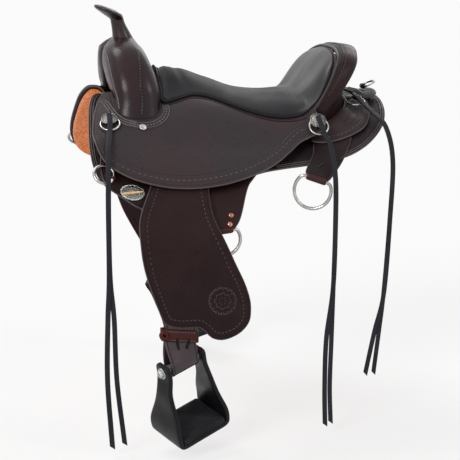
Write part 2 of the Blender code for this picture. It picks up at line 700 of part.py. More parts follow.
def tree():
    """Wooden tree: two bars, the fork through the swell and the cantle wall, with the ground seat."""
    for side, word in ((1, "left"), (-1, "right")):
        sheet("tree_bar_" + word, cut_out(BAR, 0.05, side), BAR_LIFT, BAR_TOP, "wood")
    core = COVER_THICK + EASE
    foot = foot_ring(core, BAR_TOP + EASE * 1.2)
    rings = arch_rings(core, foot_ring(core, cover_foot))
    rings = [foot] + rings + [[Vector((p.x, -p.y, p.z)) for p in foot]]
    verts, faces = loft(rings)
    finish_mesh("tree_fork", verts, faces, "wood")
    rings = []
    for k in range(-RIM_PARTS, RIM_PARTS + 1):
        s = RIM_END * k / RIM_PARTS
        x, lift, half = curve_at(RIM, abs(s))
        front = x - half + EASE * 2
        back = front + CANTLE_WALL * (0.55 + 0.45 * half / RIM[0][3])
        top = lift - ROLL_HALF_THICK - ROLL_LEAN / 2 - EASE
        low = BAR_TOP + GAP
        rings.append([place(front, s, low), place(back, s, low), place(back + 0.004, s, top),
                      place(front, s, top)])
    verts, faces = loft(rings)
    finish_mesh("tree_cantle", verts, faces, "wood")
    edge = GROUND_SEAT + [(rim_front(s) - EASE, s) for s in (0.125, 0.108, 0.085, 0.06, 0.03)]
    shape = edge + [(rim_front(0) - EASE, 0)]
    shape += [(x, -s) for x, s in reversed(edge[1:])]
    sheet("ground_seat", shape, BAR_TOP + GAP, lambda x, s: seat_lift(x, s) - SEAT_THICK - GAP, "leather")


def swell_cover():
    """Leather sleeve round the fork, with its feet on the seat leather."""
    verts, faces = sleeve_loft(arch_rings(0, foot_ring(0, cover_foot)),
                               arch_rings(COVER_THICK, foot_ring(COVER_THICK, cover_foot)))
    finish_mesh("swell_cover", verts, faces, "leather")


def horn():
    """Horn with a leaning neck that runs into a tilted cap; its foot is fitted to the cover."""
    rings = []
    for front_x, front_z, rear_x, rear_z, wide in HORN:
        front, rear = Vector((front_x, 0, front_z)), Vector((rear_x, 0, rear_z))
        middle, long = (front + rear) / 2, (front - rear) / 2
        rings.append([middle + long * math.cos(2 * math.pi * k / HORN_SIDES)
                      + Vector((0, wide * math.sin(2 * math.pi * k / HORN_SIDES), 0))
                      for k in range(HORN_SIDES)])
    verts, faces = loft(rings)
    piece = finish_mesh("horn", verts, faces, "leather")
    verts, faces = loft(arch_rings(-GAP, foot_ring(-GAP, seat_lift)))
    cut(piece, finish_mesh("horn_seat", verts, faces, "leather"))


def seat_outline():
    """Near half of the seat leather's edge, from the rear middle round to the front middle."""
    rear = [(rim_front(s) - EASE, s) for s in RIM_STOPS + (RIM_END,)]
    low = bend([(x, s, 0) for x, s in JOCKEY], 0.032)
    edge = COVER_THICK / 2
    notch = []
    for k in range(NOTCH_PARTS + 1):
        turn = math.pi * (1 - k / NOTCH_PARTS)
        notch.append((FORK_X + (FOOT_HALF_X - edge) * math.cos(turn),
                      FOOT_S + (FOOT_HALF_S - edge) * math.sin(turn)))
    front = [(FORK_X - FOOT_HALF_X + edge, 0.056)] + notch + [(SEAT_FRONT, 0.085), (SEAT_FRONT, 0.040)]
    return rear + [(p[0], p[1]) for p in low] + front


def seat():
    """Seat leather with both jockeys, the padded seat and the cantle roll."""
    half = seat_outline()
    shape = half + [(SEAT_FRONT, 0)] + [(x, -s) for x, s in reversed(half[1:])]
    sheet("seat_leather", shape, lambda x, s: seat_lift(x, s) - SEAT_THICK, seat_lift, "leather")
    edge = bend([(x, s, 0) for x, s in SEAT_PAD], 0.025)
    shape = [(p[0], p[1]) for p in edge] + [(p[0], -p[1]) for p in reversed(edge[1:-1])]
    wide = sorted((p[0], p[1]) for p in edge if p[1] > 0.08 and -0.15 < p[0] < 0.13)

    def crown(x, s):
        span = curve_at(wide, x)[0] if x < 0.12 else 0.13
        ends = smooth((x + 0.165) / 0.040) * smooth((0.215 - x) / 0.06)
        full = 1 - smooth(abs(s) / max(span, 0.05))
        rim_x, rim_lift, half = curve_at(RIM, abs(s))
        short = rim_x - half - x
        swollen = PAD_BULGE * math.exp(-((short - BULGE_REACH) / BULGE_WIDTH)**2) * smooth(short / 0.020)
        swollen = swollen * (1 - smooth((abs(s) - BULGE_SIDE) / BULGE_FADE))
        return seat_lift(x, s) + GAP + PAD_EDGE + (PAD_THICK - PAD_EDGE) * full * ends + swollen

    sheet("seat_pad", shape, lambda x, s: seat_lift(x, s) + GAP, crown, "seat")
    rings = []
    for k in range(-RIM_PARTS, RIM_PARTS + 1):
        s = RIM_END * k / RIM_PARTS
        x, lift, width = curve_at(RIM, abs(s))
        ring = []
        for j in range(ROLL_SIDES):
            turn = 2 * math.pi * j / ROLL_SIDES
            height = ROLL_HALF_THICK * math.sin(turn) - ROLL_LEAN * math.cos(turn)
            ring.append(place(x + width * math.cos(turn), s, lift + height))
        rings.append(ring)
    verts, faces = loft(rings)
    finish_mesh("cantle_roll", verts, faces, "leather")


def jockey_lift(x, s):
    """Underside of the back jockey: over the bars, down on the skirts beyond them."""
    s = abs(s)
    reach = BAR_REAR + 0.003 + REAR_CROWN * (1 - smooth((s - CROWN_SIDE) / CROWN_FADE))
    over = 1 - smooth((s - BAR_OUTER - 0.002) / JOCKEY_FALL)
    over = over * (1 - smooth((x - reach) / JOCKEY_FALL))
    return BAR_LIFT + PLATE_THICK + GAP + (BAR_TOP - BAR_LIFT - PLATE_THICK) * over


def skirts():
    """Skirts with their lining, and the back jockey across them behind the cantle."""
    for side, word in ((1, "left"), (-1, "right")):
        shape = cut_out(SKIRT, 0.034, side)
        sheet("skirt_" + word, shape, SKIRT_LIFT, SKIRT_LIFT + SKIRT_THICK, "leather")
        sheet("lining_" + word, inset(shape, LINING_INSET), 0.0, LINING_THICK, "lining")
    behind = [(rim_front(s) + CANTLE_WALL + EASE * 3, s) for s in RIM_STOPS]
    rest = bend([(x, s, 0) for x, s in BACK_JOCKEY], 0.02)
    half = behind + [(p[0], p[1]) for p in rest]
    shape = half + [(x, -s) for x, s in reversed(half[1:-1])]
    sheet("back_jockey", shape, jockey_lift, lambda x, s: jockey_lift(x, s) + BACK_JOCKEY_THICK,
          "leather")


def crupper():
    """Band over the back jockey with a leather loop that holds the crupper dee."""

    def under(x, s):
        return jockey_lift(x, s) + BACK_JOCKEY_THICK + GAP

    def over(x, s):
        return under(x, s) + BACK_JOCKEY_THICK

    half = bend([(x, s, 0) for x, s in BAND] + [(0.307, 0, 0)], 0.03)
    shape = [(p[0], p[1]) for p in half] + [(p[0], -p[1]) for p in reversed(half[1:-1])]
    band = sheet("crupper_strap", shape, under, over, "leather")
    x, half_bar = CRUPPER_BAR
    middle = on_grid(x, 0.0, over) + Vector((0, 0, DEE_WIRE))
    start, end = middle - Vector((0, half_bar, 0)), middle + Vector((0, half_bar, 0))
    drop = Vector((math.cos(CRUPPER_TILT), 0, math.sin(CRUPPER_TILT)))
    sleeved_dee(band, "crupper_dee", start, end, drop, CRUPPER_RADIUS, CRUPPER_WIRE)


def concho_leather(word):
    """Lift of the leather that a concho sits on, as a function of x and s."""
    if word == "back":
        return lambda x, s: jockey_lift(x, s) + BACK_JOCKEY_THICK
    return seat_lift


def stand_on(x, s, lift, reach):
    """Seat for a fitting on leather: its middle, the way out, and how far the leather rises near it."""
    step = 0.008
    middle = on_grid(x, s, lift)
    along = on_grid(x + step, s, lift) - on_grid(x - step, s, lift)
    down = on_grid(x, s + step, lift) - on_grid(x, s - step, lift)
    out = along.cross(down).normalized()
    if out.dot(out_of(s)) < 0:
        out = -out
    rises = [0.0, 0.0]
    for ring, radius in enumerate((CONCHO_POST * 1.5, reach)):
        for k in range(24):
            turn = 2 * math.pi * k / 24
            for share in (0.4, 0.7, 1.0):
                far = share * radius
                near = on_grid(x + far * math.cos(turn), s + far * math.sin(turn), lift)
                rises[ring] = max(rises[ring], (near - middle).dot(out))
    return middle, out, rises[0], rises[1]


def concho_heights(word, side):
    """Middle, way out, foot height, ring level and face height of a concho over its leather."""
    x, s = CONCHOS[word]
    middle, out, foot, rise = stand_on(x, side * s, concho_leather(word),
                                       CONCHO_RING_RADIUS * 2 - CONCHO_POST)
    foot += GAP
    level = max(rise, foot + 0.0006) + GAP + CONCHO_RING_WIRE
    disc = level + CONCHO_RING_WIRE + GAP
    return middle, out, foot, level, disc


def concho(word, side, hand):
    """Concho on its post and the ring that hangs on the post."""
    middle, out, foot, level, disc = concho_heights(word, side)
    name = "%s_concho_%s" % (word, hand)
    profile = [(CONCHO_POST * 1.5, foot), (CONCHO_POST * 1.5, foot + 0.0005), (CONCHO_POST, foot + 0.0005),
               (CONCHO_POST, disc), (CONCHO_RADIUS, disc), (CONCHO_RADIUS * 0.94, disc + CONCHO_THICK),
               (CONCHO_RADIUS * 0.60, disc + CONCHO_THICK),
               (CONCHO_RADIUS * 0.40, disc + CONCHO_THICK + CONCHO_DOME)]
    lathe(name, middle, out, profile, "silver", 16)
    down = down_from(side * CONCHOS[word][1])
    down = (down - out * down.dot(out)).normalized()
    across = out.cross(down)
    hub = middle + out * level
    centre = hub + down * (CONCHO_RING_RADIUS - CONCHO_RING_WIRE - CONCHO_POST - GAP)
    path = [centre + CONCHO_RING_RADIUS * (math.cos(2 * math.pi * k / 16) * across
                                           + math.sin(2 * math.pi * k / 16) * down) for k in range(16)]
    verts, faces = wire_loop(path, CONCHO_RING_WIRE, 5)
    finish_mesh(name + "_ring", verts, faces, "silver", origin=hub)


def conchos():
    """Three conchos and rings on each side."""
    for side, hand in ((1, "left"), (-1, "right")):
        for word in CONCHOS:
            concho(word, side, hand)


def sleeved_dee(holder, name, start, end, drop, radius, wire, sides=7):
    """Dee whose bar turns in a leather sleeve that is part of the holder."""
    half = (end - start) / 2
    middle = (start + end) / 2
    bar = half.normalized()
    long = half.length - wire * 2.2
    cut(holder, tube_between("sleeve", middle - bar * long, middle + bar * long,
                             wire + BORE_EASE + SLEEVE_WALL), "UNION")
    cut(holder, tube_between("bore", middle - bar * long * 2, middle + bar * long * 2, wire + BORE_EASE))
    verts, faces = wire_loop(dee_path(start, end, drop, radius), wire, sides)
    return finish_mesh(name, verts, faces, "silver", origin=middle)


def rigging_dee(holder, name, dee, side, lift, wire, hangs):
    """Dee at the edge of rigging leather, hanging plumb or lying along the leather."""
    (x, s), (end_x, end_s), radius = dee
    start, end = place(x, side * s, lift), place(end_x, side * end_s, lift)
    along = (end - start).normalized()
    out = stand_on((x + end_x) / 2, side * (s + end_s) / 2, lift, 0.001)[1]
    drop = Vector((0, 0, -1)) if hangs else -side * out.cross(along)
    drop = drop - along * drop.dot(along)
    sleeved_dee(holder, name, start, end, drop, radius, wire)


def swing_pin(plate, side):
    """Headed pin on the rigging plate that the stirrup leather and the fender turn on."""
    pivot, axis = fender_pivot(side)
    foot = FENDER_LIFT - PLATE_LIFT - PLATE_THICK / 2
    neck = FENDER_THICK + EASE
    profile = [(PIN_RADIUS, -foot), (PIN_RADIUS, neck), (PIN_HEAD, neck), (PIN_HEAD, neck + PIN_HEAD_THICK)]
    cut(plate, lathe("pin", pivot, axis, profile, "steel", PIN_SIDES), "UNION")


def swing_bore(piece, side):
    """Round hole that runs on the swing pin as it turns."""
    pivot, axis = fender_pivot(side)
    radius = PIN_RADIUS / math.cos(math.pi / PIN_SIDES) + PIN_RUNNING
    cut(piece, tube_between("bore", pivot - axis * 0.02, pivot + axis * 0.02, radius, PIN_SIDES))


def rigging():
    """Rigging plates, their dees, the rear rigging straps and their dees."""
    middle = PLATE_LIFT + PLATE_THICK / 2
    under = PLATE_LIFT - 0.0020
    over = PLATE_LIFT + PLATE_THICK + EASE + BREAST_WIRE
    for side, hand in ((1, "left"), (-1, "right")):
        plate = sheet("rigging_plate_" + hand, cut_out(PLATE, 0.03, side), PLATE_LIFT,
                      PLATE_LIFT + PLATE_THICK, "leather")
        rigging_dee(plate, "cinch_ring_" + hand, CINCH_DEE, side, under, DEE_WIRE, True)
        rigging_dee(plate, "breast_ring_" + hand, BREAST_DEE, side, over, BREAST_WIRE, False)
        swing_pin(plate, side)
        strap = sheet("rear_rigging_strap_" + hand, cut_out(REAR_STRAP, 0.03, side), PLATE_LIFT,
                      PLATE_LIFT + PLATE_THICK - GAP, "leather")
        rigging_dee(strap, "rear_dee_" + hand, REAR_DEE, side, middle, DEE_WIRE, True)


def stirrup_frame(side):
    """Bolt centre and the stirrup's axes: along the bolt, along the foot, and up."""
    up = Vector((STIRRUP_UP[0], STIRRUP_UP[1] * side, STIRRUP_UP[2])).normalized()
    along = Vector((STIRRUP_ALONG[0], STIRRUP_ALONG[1] * side, STIRRUP_ALONG[2]))
    along = (along - up * along.dot(up)).normalized()
    foot = up.cross(along) * side
    centre = place(PIVOT_X - LEATHER_LEAN + 0.004, side * HOBBLE_S, STRAP_LIFT + FLARE)
    centre = centre + Vector((0, 0.003 * side, -BOLT_DROP))
    return centre, along, foot, up


def fender_pivot(side):
    """Point and axis that a fender swings about, square to the leather under the jockey."""
    middle, out, foot, rise = stand_on(PIVOT_X, side * PIVOT_S, FENDER_LIFT, 0.001)
    return middle, out


def stirrup_leather(side, hand):
    """Wide strap down behind the fender, round the stirrup bolt's roller and up again."""
    centre, along, foot, up = stirrup_frame(side)
    outward = -foot if foot.dot(out_of(side * HOBBLE_S)) < 0 else foot
    radius = ROLLER_RADIUS + EASE + STRAP_THICK / 2
    half = LEATHER_WIDTH / 2

    def lying(x, s, low, high):
        edges = ((x - half, low), (x + half, low), (x + half, high), (x - half, high))
        return [on_grid(a, side * s, flared(lift)) for a, lift in edges]

    def round_bolt(at, way):
        across, out = along * half, way * STRAP_THICK / 2
        return [at - across - out, at + across - out, at + across + out, at - across + out]

    rows = range(math.ceil(LEATHER_TOP / CELL), math.floor(HOBBLE_S / CELL) + 1)
    rings = []
    for s in [LEATHER_TOP] + [k * CELL for k in rows] + [HOBBLE_S]:
        lean = LEATHER_LEAN * (s - LEATHER_TOP) / (HOBBLE_S - LEATHER_TOP)
        rings.append(lying(PIVOT_X - lean, s, STRAP_LIFT, STRAP_LIFT + STRAP_THICK))
    rings.append(round_bolt(centre + outward * radius + up * radius, outward))
    for k in range(9):
        turn = math.pi * k / 8
        way = outward * math.cos(turn) - up * math.sin(turn)
        rings.append(round_bolt(centre + way * radius, way))
    rings.append(round_bolt(centre - outward * radius + up * radius, -outward))
    behind = STRAP_LIFT - GAP * 2
    for s in (HOBBLE_S, HOBBLE_S - 0.030):
        rings.append(lying(PIVOT_X - LEATHER_LEAN, s, behind, behind - STRAP_THICK))
    verts, faces = loft(rings)
    return finish_mesh("stirrup_leather_" + hand, verts, faces, "leather", origin=fender_pivot(side)[0])


def hobble(side, hand):
    """Strap round both runs of the stirrup leather above the stirrup."""
    middle = STRAP_LIFT - GAP
    half_wide = LEATHER_WIDTH / 2 + EASE * 2.4
    half_deep = STRAP_THICK + EASE
    s_mid = HOBBLE_S - HOBBLE_WIDTH / 2 - 0.001
    x_mid = PIVOT_X - LEATHER_LEAN
    outer, inner = [], []
    for end in (-1, 1):
        s = side * (s_mid + end * HOBBLE_WIDTH / 2)
        rows = []
        for grow in (HOBBLE_WALL, 0):
            w, d = half_wide + grow, half_deep + grow
            near, low = w - HOBBLE_CORNER, d - HOBBLE_CORNER / 2
            line = ((-near, -d), (near, -d), (w, -low), (w, low),
                    (near, d), (-near, d), (-w, low), (-w, -low))
            row = [on_grid(x_mid + c, s, FLARE + middle + o) for c, o in line]
            rows.append(row)
        outer.append(rows[0])
        inner.append(rows[1])
    verts, faces = sleeve_loft(outer, inner)
    finish_mesh("hobble_strap_" + hand, verts, faces, "hobble", origin=fender_pivot(side)[0])


def stirrup(side, hand):
    """Stirrup frame of arms and tread, its rubber pad, and its bolt with the roller."""
    centre, along, foot, up = stirrup_frame(side)
    half_top = NECK_WIDTH / 2 + ARM_THICK / 2
    half_low = TREAD_LENGTH / 2 - ARM_THICK / 2
    low = -STIRRUP_HEIGHT
    line = [(-half_top, 0.014), (-half_top, -0.012), (-half_top - 0.006, -0.045),
            (-half_low + 0.006, -0.085), (-half_low, -0.118), (-half_low + 0.002, low + 0.012),
            (-half_low + 0.014, low), (-0.020, low - 0.001)]
    line = line + [(-a, b) for a, b in reversed(line)]
    path = bend([(a, b, 0) for a, b in line], 0.020)
    rings = []
    for i, p in enumerate(path):
        before, after = path[max(i - 1, 0)], path[min(i + 1, len(path) - 1)]
        run = (after - before).normalized()
        out = Vector((run.y, -run.x, 0))
        share = smooth(min(max(-(p.y + 0.030) / (STIRRUP_HEIGHT - 0.045), 0), 1))
        deep = (ARM_DEPTH + (TREAD_DEPTH - ARM_DEPTH) * share) / 2
        thick = ARM_THICK / 2
        ring = []
        for a, b in ARM_SECTION:
            flat = p + out * thick * b
            ring.append(centre + along * flat.x + up * flat.y + foot * deep * a)
        rings.append(ring)
    verts, faces = loft(rings)
    frame = finish_mesh("stirrup_" + hand, verts, faces, "black", origin=centre)
    reach = half_top + ARM_THICK
    cut(frame, tube_between("bolt_hole", centre - along * reach, centre + along * reach,
                            BOLT_RADIUS + GAP, 12))
    top = low + ARM_THICK / 2 + GAP
    long, deep = TREAD_LENGTH / 2 - ARM_THICK - 0.012, TREAD_DEPTH / 2 - 0.006
    rings = []
    for shrink, height in ((1.0, 0), (1.0, PAD_HEIGHT * 0.7), (0.94, PAD_HEIGHT)):
        rings.append([centre + along * a * long * shrink + foot * b * deep * shrink + up * (top + height)
                      for a, b in PAD_SECTION])
    verts, faces = loft(rings)
    finish_mesh("tread_pad_" + hand, verts, faces, "rubber", origin=centre)
    nut = BOLT_RADIUS * 1.9
    end = half_top + ARM_THICK / 2 + GAP
    inner = NECK_WIDTH / 2 - GAP * 2
    profile = [(nut, -end - 0.007), (nut, -end - 0.0015), (nut * 1.5, -end - 0.0015), (nut * 1.5, -end),
               (BOLT_RADIUS, -end), (BOLT_RADIUS, -inner), (ROLLER_RADIUS, -inner), (ROLLER_RADIUS, inner),
               (BOLT_RADIUS, inner), (BOLT_RADIUS, end), (nut * 1.4, end), (nut * 1.4, end + 0.004),
               (nut * 0.9, end + 0.0065)]
    lathe("stirrup_bolt_" + hand, centre, along, profile, "steel", 12, origin=centre)


def stirrups():
    """Fenders, stirrup leathers, hobble straps and stirrups; the far ones hang swung back."""
    for side, hand in ((1, "left"), (-1, "right")):
        fender = sheet("fender_" + hand, cut_out(FENDER, 0.030, side), flared(FENDER_LIFT),
                       flared(FENDER_LIFT + FENDER_THICK), "fender", origin=fender_pivot(side)[0])
        swing_bore(fender, side)
        swing_bore(stirrup_leather(side, hand), side)
        hobble(side, hand)
        stirrup(side, hand)
    centre, along, foot, up = stirrup_frame(-1)
    tuck = Matrix.Translation(centre) @ Matrix.Rotation(FAR_TUCK, 4, along) @ Matrix.Translation(-centre)
    pivot, axis = fender_pivot(-1)
    swing = Matrix.Translation(pivot) @ Matrix.Rotation(-FAR_SWING, 4, axis) @ Matrix.Translation(-pivot)
    for word in ("stirrup", "tread_pad", "stirrup_bolt"):
        piece = bpy.data.objects[word + "_right"]
        piece.matrix_world = swing @ tuck @ Matrix.Translation(piece.location)
    for word in ("fender", "stirrup_leather", "hobble_strap"):
        piece = bpy.data.objects[word + "_right"]
        piece.matrix_world = swing @ Matrix.Translation(piece.location)


def fittings():
    """Seat screws and the oval plates on the rigging."""
    for side, hand in ((1, "left"), (-1, "right")):
        middle, out, foot, rise = stand_on(SCREW[0], side * SCREW[1], seat_lift, 0.008)
        lift = max(foot, rise) + GAP
        lathe("seat_screw_" + hand, middle, out, [(0.0075, lift), (0.0075, lift + 0.0012),
                                                  (0.0058, lift + 0.0030), (0.0022, lift + 0.0038)],
              "silver", 16)
        x, s = OVAL_PLATE
        oval = [(x + OVAL_HALF[0] * math.cos(2 * math.pi * k / 24) * 0.98
                 + OVAL_HALF[1] * math.sin(2 * math.pi * k / 24) * OVAL_TILT,
                 side * (s + OVAL_HALF[1] * math.sin(2 * math.pi * k / 24)
                         - OVAL_HALF[0] * math.cos(2 * math.pi * k / 24) * OVAL_TILT)) for k in range(24)]
        top = PLATE_LIFT + PLATE_THICK + GAP
        sheet("oval_plate_" + hand, oval, top, top + OVAL_THICK, "silver")


def split_string(name, trunk, tails):
    """Pair of flat strings that lie on each other down to the split and then part."""
    pieces = []
    for tail in tails:
        path = bend(trunk + tail, 0.035)
        widths, normals = [], []
        for i in range(len(path)):
            run = (path[min(i + 1, len(path) - 1)] - path[max(i - 1, 0)]).normalized()
            across = Vector((1, 0, 0))
            across = (across - run * across.dot(run)).normalized()
            widths.append(across)
            normals.append(across.cross(run))
        slim = SECOND_STRING if pieces else 1.0
        verts, faces = strip(path, widths, normals, STRING_WIDTH * slim, STRING_THICK * slim)
        pieces.append(finish_mesh(name if not pieces else name + "_tail", verts, faces, "string"))
    cut(pieces[0], pieces[1], "UNION")


def strings():
    """Near strings: they hang from the conchos, over the leather and then free."""
    for word, (x, s) in CONCHOS.items():
        middle, out, foot, level, disc = concho_heights(word, 1)
        face = disc + CONCHO_THICK + CONCHO_DOME + GAP * 3 + STRING_THICK / 2
        trunk, tails = STRING_ROUTES[word]
        points = []
        slope = out.cross(Vector((1, 0, 0))).normalized() * -1
        flat = slope.cross(out).normalized()
        flat = flat if flat.x > 0 else -flat
        slope = slope if slope.z < 0 else -slope
        near = {"face": face, "ring": level + CONCHO_RING_WIRE + EASE + STRING_THICK / 2}
        for forward, down, over in trunk:
            if over in near:
                points.append(middle + flat * forward + slope * down + out * near[over])
            else:
                points.append(on_grid(x + forward, s + down, concho_leather(word)) + out * over)
        split_string(word + "_string_left", points, [[Vector(p) for p in tail] for tail in tails])


def build():
    clear_scene()
    tree()
    swell_cover()
    horn()
    seat()
    skirts()
    crupper()
    rigging()
    conchos()
    fittings()
    stirrups()
    strings()


build()
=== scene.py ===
"""Looks of the trail saddle: modelled leather, stitching, fittings, cords, materials, light and camera.

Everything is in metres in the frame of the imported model: +X to the cantle, -Y to the near side, +Z up.
Leather is laid out as in the part's source: x along the horse, s down its side, lift over its back.
"""

import json
import math

import bmesh
import bpy
import numpy as np
from mathutils import Matrix, Vector


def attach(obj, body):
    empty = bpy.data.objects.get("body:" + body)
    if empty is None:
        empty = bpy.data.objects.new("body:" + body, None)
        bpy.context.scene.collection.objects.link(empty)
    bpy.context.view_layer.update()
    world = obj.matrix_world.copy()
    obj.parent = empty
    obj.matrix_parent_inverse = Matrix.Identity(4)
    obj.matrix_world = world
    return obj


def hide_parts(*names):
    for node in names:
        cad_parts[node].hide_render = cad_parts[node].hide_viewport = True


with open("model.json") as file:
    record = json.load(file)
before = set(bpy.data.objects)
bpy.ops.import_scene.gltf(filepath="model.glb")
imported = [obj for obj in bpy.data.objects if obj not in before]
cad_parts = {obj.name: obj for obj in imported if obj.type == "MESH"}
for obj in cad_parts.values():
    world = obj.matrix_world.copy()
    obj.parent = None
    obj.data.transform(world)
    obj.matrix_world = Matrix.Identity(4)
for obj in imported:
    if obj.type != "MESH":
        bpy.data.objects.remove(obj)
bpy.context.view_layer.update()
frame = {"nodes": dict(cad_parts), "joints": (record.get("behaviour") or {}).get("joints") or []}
JOINTS = {j["child"]: j for j in frame["joints"]}

# The horse's back, as in the part's source
BACK_RADIUS = 0.310
RIDGE_RISE = 0.032
RIDGE_REACH = 0.310
FALL_START = 0.270
FALL_MIDDLE = 0.340
FALL_END = 0.430
FALL_SLOPE = math.radians(62)
HANG_SLOPE = math.radians(91)
SETTLE = 0.0005

# Leather thicknesses and the lifts they stack up to
GAP = 0.0003
EASE = 0.0012
LINING_THICK = 0.0140
SKIRT_THICK = 0.0052
PLATE_THICK = 0.0046
BAR_THICK = 0.0136
STRAP_THICK = 0.0040
FENDER_THICK = 0.0040
SEAT_THICK = 0.0045
BACK_JOCKEY_THICK = 0.0044
SKIRT_LIFT = LINING_THICK + GAP
PLATE_LIFT = SKIRT_LIFT + SKIRT_THICK + GAP
BAR_TOP = PLATE_LIFT + BAR_THICK
STRAP_LIFT = PLATE_LIFT + PLATE_THICK + 0.0030
FENDER_LIFT = STRAP_LIFT + STRAP_THICK + GAP
FLARE = 0.0080
FLARE_START = 0.245
FLARE_RUN = 0.115
JOCKEY_LIFT = FENDER_LIFT + FENDER_THICK + 0.0050 + SEAT_THICK
BAR_OUTER = 0.132
BAR_REAR = 0.214

# Swell, seat and cantle
FORK_X = -0.213
FOOT_S = 0.118
FOOT_HALF_X = 0.042
FOOT_HALF_S = 0.026
DISH_LENGTH = 0.080
DISH_POWER = 1.3
SHOULDER_FALL = 0.110
LOBE_DROP = 0.0140
PAD_BULGE = 0.0100
ROLL_HALF_THICK = 0.0095
ROLL_LEAN = 0.0060
SEAT_FRONT = -0.1635
RIM = [(0.000, 0.237, 0.131, 0.030), (0.045, 0.229, 0.132, 0.024), (0.085, 0.214, 0.124, 0.021),
       (0.115, 0.184, 0.096, 0.016), (0.138, 0.150, 0.068, 0.010)]
RIM_END = RIM[-1][0]
FLOOR = [(-0.315, 0.036, 0.036, 0.095), (-0.270, 0.064, 0.050, 0.095), (-0.220, 0.088, 0.062, 0.095),
         (-0.165, 0.098, 0.070, 0.095), (-0.110, 0.097, 0.079, 0.090), (-0.060, 0.083, 0.076, 0.098),
         (0.000, 0.063, 0.068, 0.118), (0.055, 0.052, 0.0635, 0.132), (0.110, 0.051, 0.0625, 0.138),
         (0.170, 0.052, 0.058, 0.138)]
ARCH = [(0.00, 0.000, 0.1495, -0.2225, 0.0282, 0.0358, 90),
        (0.25, 0.0273, 0.1416, -0.2272, 0.0396, 0.0342, 86),
        (0.50, 0.0619, 0.1243, -0.2232, 0.0432, 0.0442, 54),
        (0.72, 0.0934, 0.0910, -0.2145, 0.0468, 0.0470, 22),
        (0.88, 0.1133, 0.0710, -0.2095, 0.0447, 0.0404, -8)]
HORN = [(-0.2435, 0.1680, -0.1975, 0.1660, 0.0230), (-0.2425, 0.1790, -0.2015, 0.1775, 0.0205),
        (-0.2432, 0.1930, -0.2085, 0.1905, 0.0170), (-0.2452, 0.2080, -0.2160, 0.2045, 0.0150),
        (-0.2475, 0.2155, -0.2188, 0.2125, 0.0150), (-0.2600, 0.2245, -0.2195, 0.2155, 0.0215),
        (-0.2745, 0.2352, -0.2203, 0.2180, 0.0280), (-0.2778, 0.2390, -0.2212, 0.2205, 0.0293),
        (-0.2780, 0.2425, -0.2230, 0.2240, 0.0290), (-0.2740, 0.2440, -0.2270, 0.2262, 0.0262),
        (-0.2640, 0.2425, -0.2370, 0.2327, 0.0150)]

# Where shapes ease in or out, each as its start and its run along x or s
LOBE_FORWARD = (-0.258, -0.045)
LOBE_DOWN = (0.165, 0.050)
DISH_NARROWS = (0.070, 0.055)
RIM_FADES = (RIM_END - 0.006, 0.016)
JOCKEY_NARROWS = (0.030, 0.050)
JOCKEY_FALL = 0.030
JOCKEY_REACH = 0.045
RIM_STEPS = (0.0, 0.03, 0.06, 0.085, 0.105, 0.122)

# Camera: the photograph's view
VIEW_AZIMUTH = math.radians(-12)
VIEW_ELEVATION = math.radians(12)
VIEW_DISTANCE = 2.8
VIEW_TARGET = Vector((0, 0, -0.23))
VIEW_LENS = 103.4
FLOOR_Z = -0.602

# Light: name, direction it comes from, strength and spread in degrees of each sun, and the fill
SUNS = (("left", (-0.62, -0.62, 0.55), 1.45, 24), ("right", (0.60, -0.45, 0.50), 0.40, 16),
        ("top", (-0.36, 0.36, 0.86), 1.1, 30), ("rim", (0.50, 0.78, 0.48), 0.32, 26))
FILL = (0.36, 0.36, 0.36, 1)
FLOOR_TONES = ((0.84, 0.84, 0.84, 1), (0.86, 0.86, 0.86, 1))
FLOOR_GLOW = 0.70


def smooth(t):
    """Ease from 0 to 1."""
    t = np.clip(t, 0.0, 1.0)
    return t * t * (3 - 2 * t)


def ease(value, start, run):
    """Ease from 0 at the start to 1 a run further on."""
    return smooth((value - start) / run)


def bell(away, width):
    """1 at nothing away, near 0 at twice the width."""
    return np.exp(-(away / width)**2)


def circle(sides):
    """Turns of the points round a section."""
    return np.arange(sides) * 2 * math.pi / sides


def unit(v):
    """Directions of the given vectors."""
    v = np.asarray(v, float)
    return v / np.linalg.norm(v, axis=-1, keepdims=True)


def table(points, samples=24):
    """Smooth curves through tuples sorted by their first value, as a function of that value."""
    pts = np.array(points, float)
    rise = np.empty_like(pts[:, 1:])
    rise[1:-1] = (pts[2:, 1:] - pts[:-2, 1:]) / (pts[2:, :1] - pts[:-2, :1])
    rise[0] = (pts[1, 1:] - pts[0, 1:]) / (pts[1, 0] - pts[0, 0])
    rise[-1] = (pts[-1, 1:] - pts[-2, 1:]) / (pts[-1, 0] - pts[-2, 0])
    keys, rows = [], []
    for i in range(len(pts) - 1):
        span = pts[i + 1, 0] - pts[i, 0]
        for t in np.linspace(0, 1, samples, endpoint=False):
            keys.append(pts[i, 0] + span * t)
            rows.append((2 * t**3 - 3 * t**2 + 1) * pts[i, 1:] + (t**3 - 2 * t**2 + t) * rise[i] * span
                        + (3 * t**2 - 2 * t**3) * pts[i + 1, 1:] + (t**3 - t**2) * rise[i + 1] * span)
    keys.append(pts[-1, 0])
    rows.append(pts[-1, 1:])
    rows = np.array(rows)
    return lambda key: [np.interp(key, keys, rows[:, c]) for c in range(rows.shape[1])]


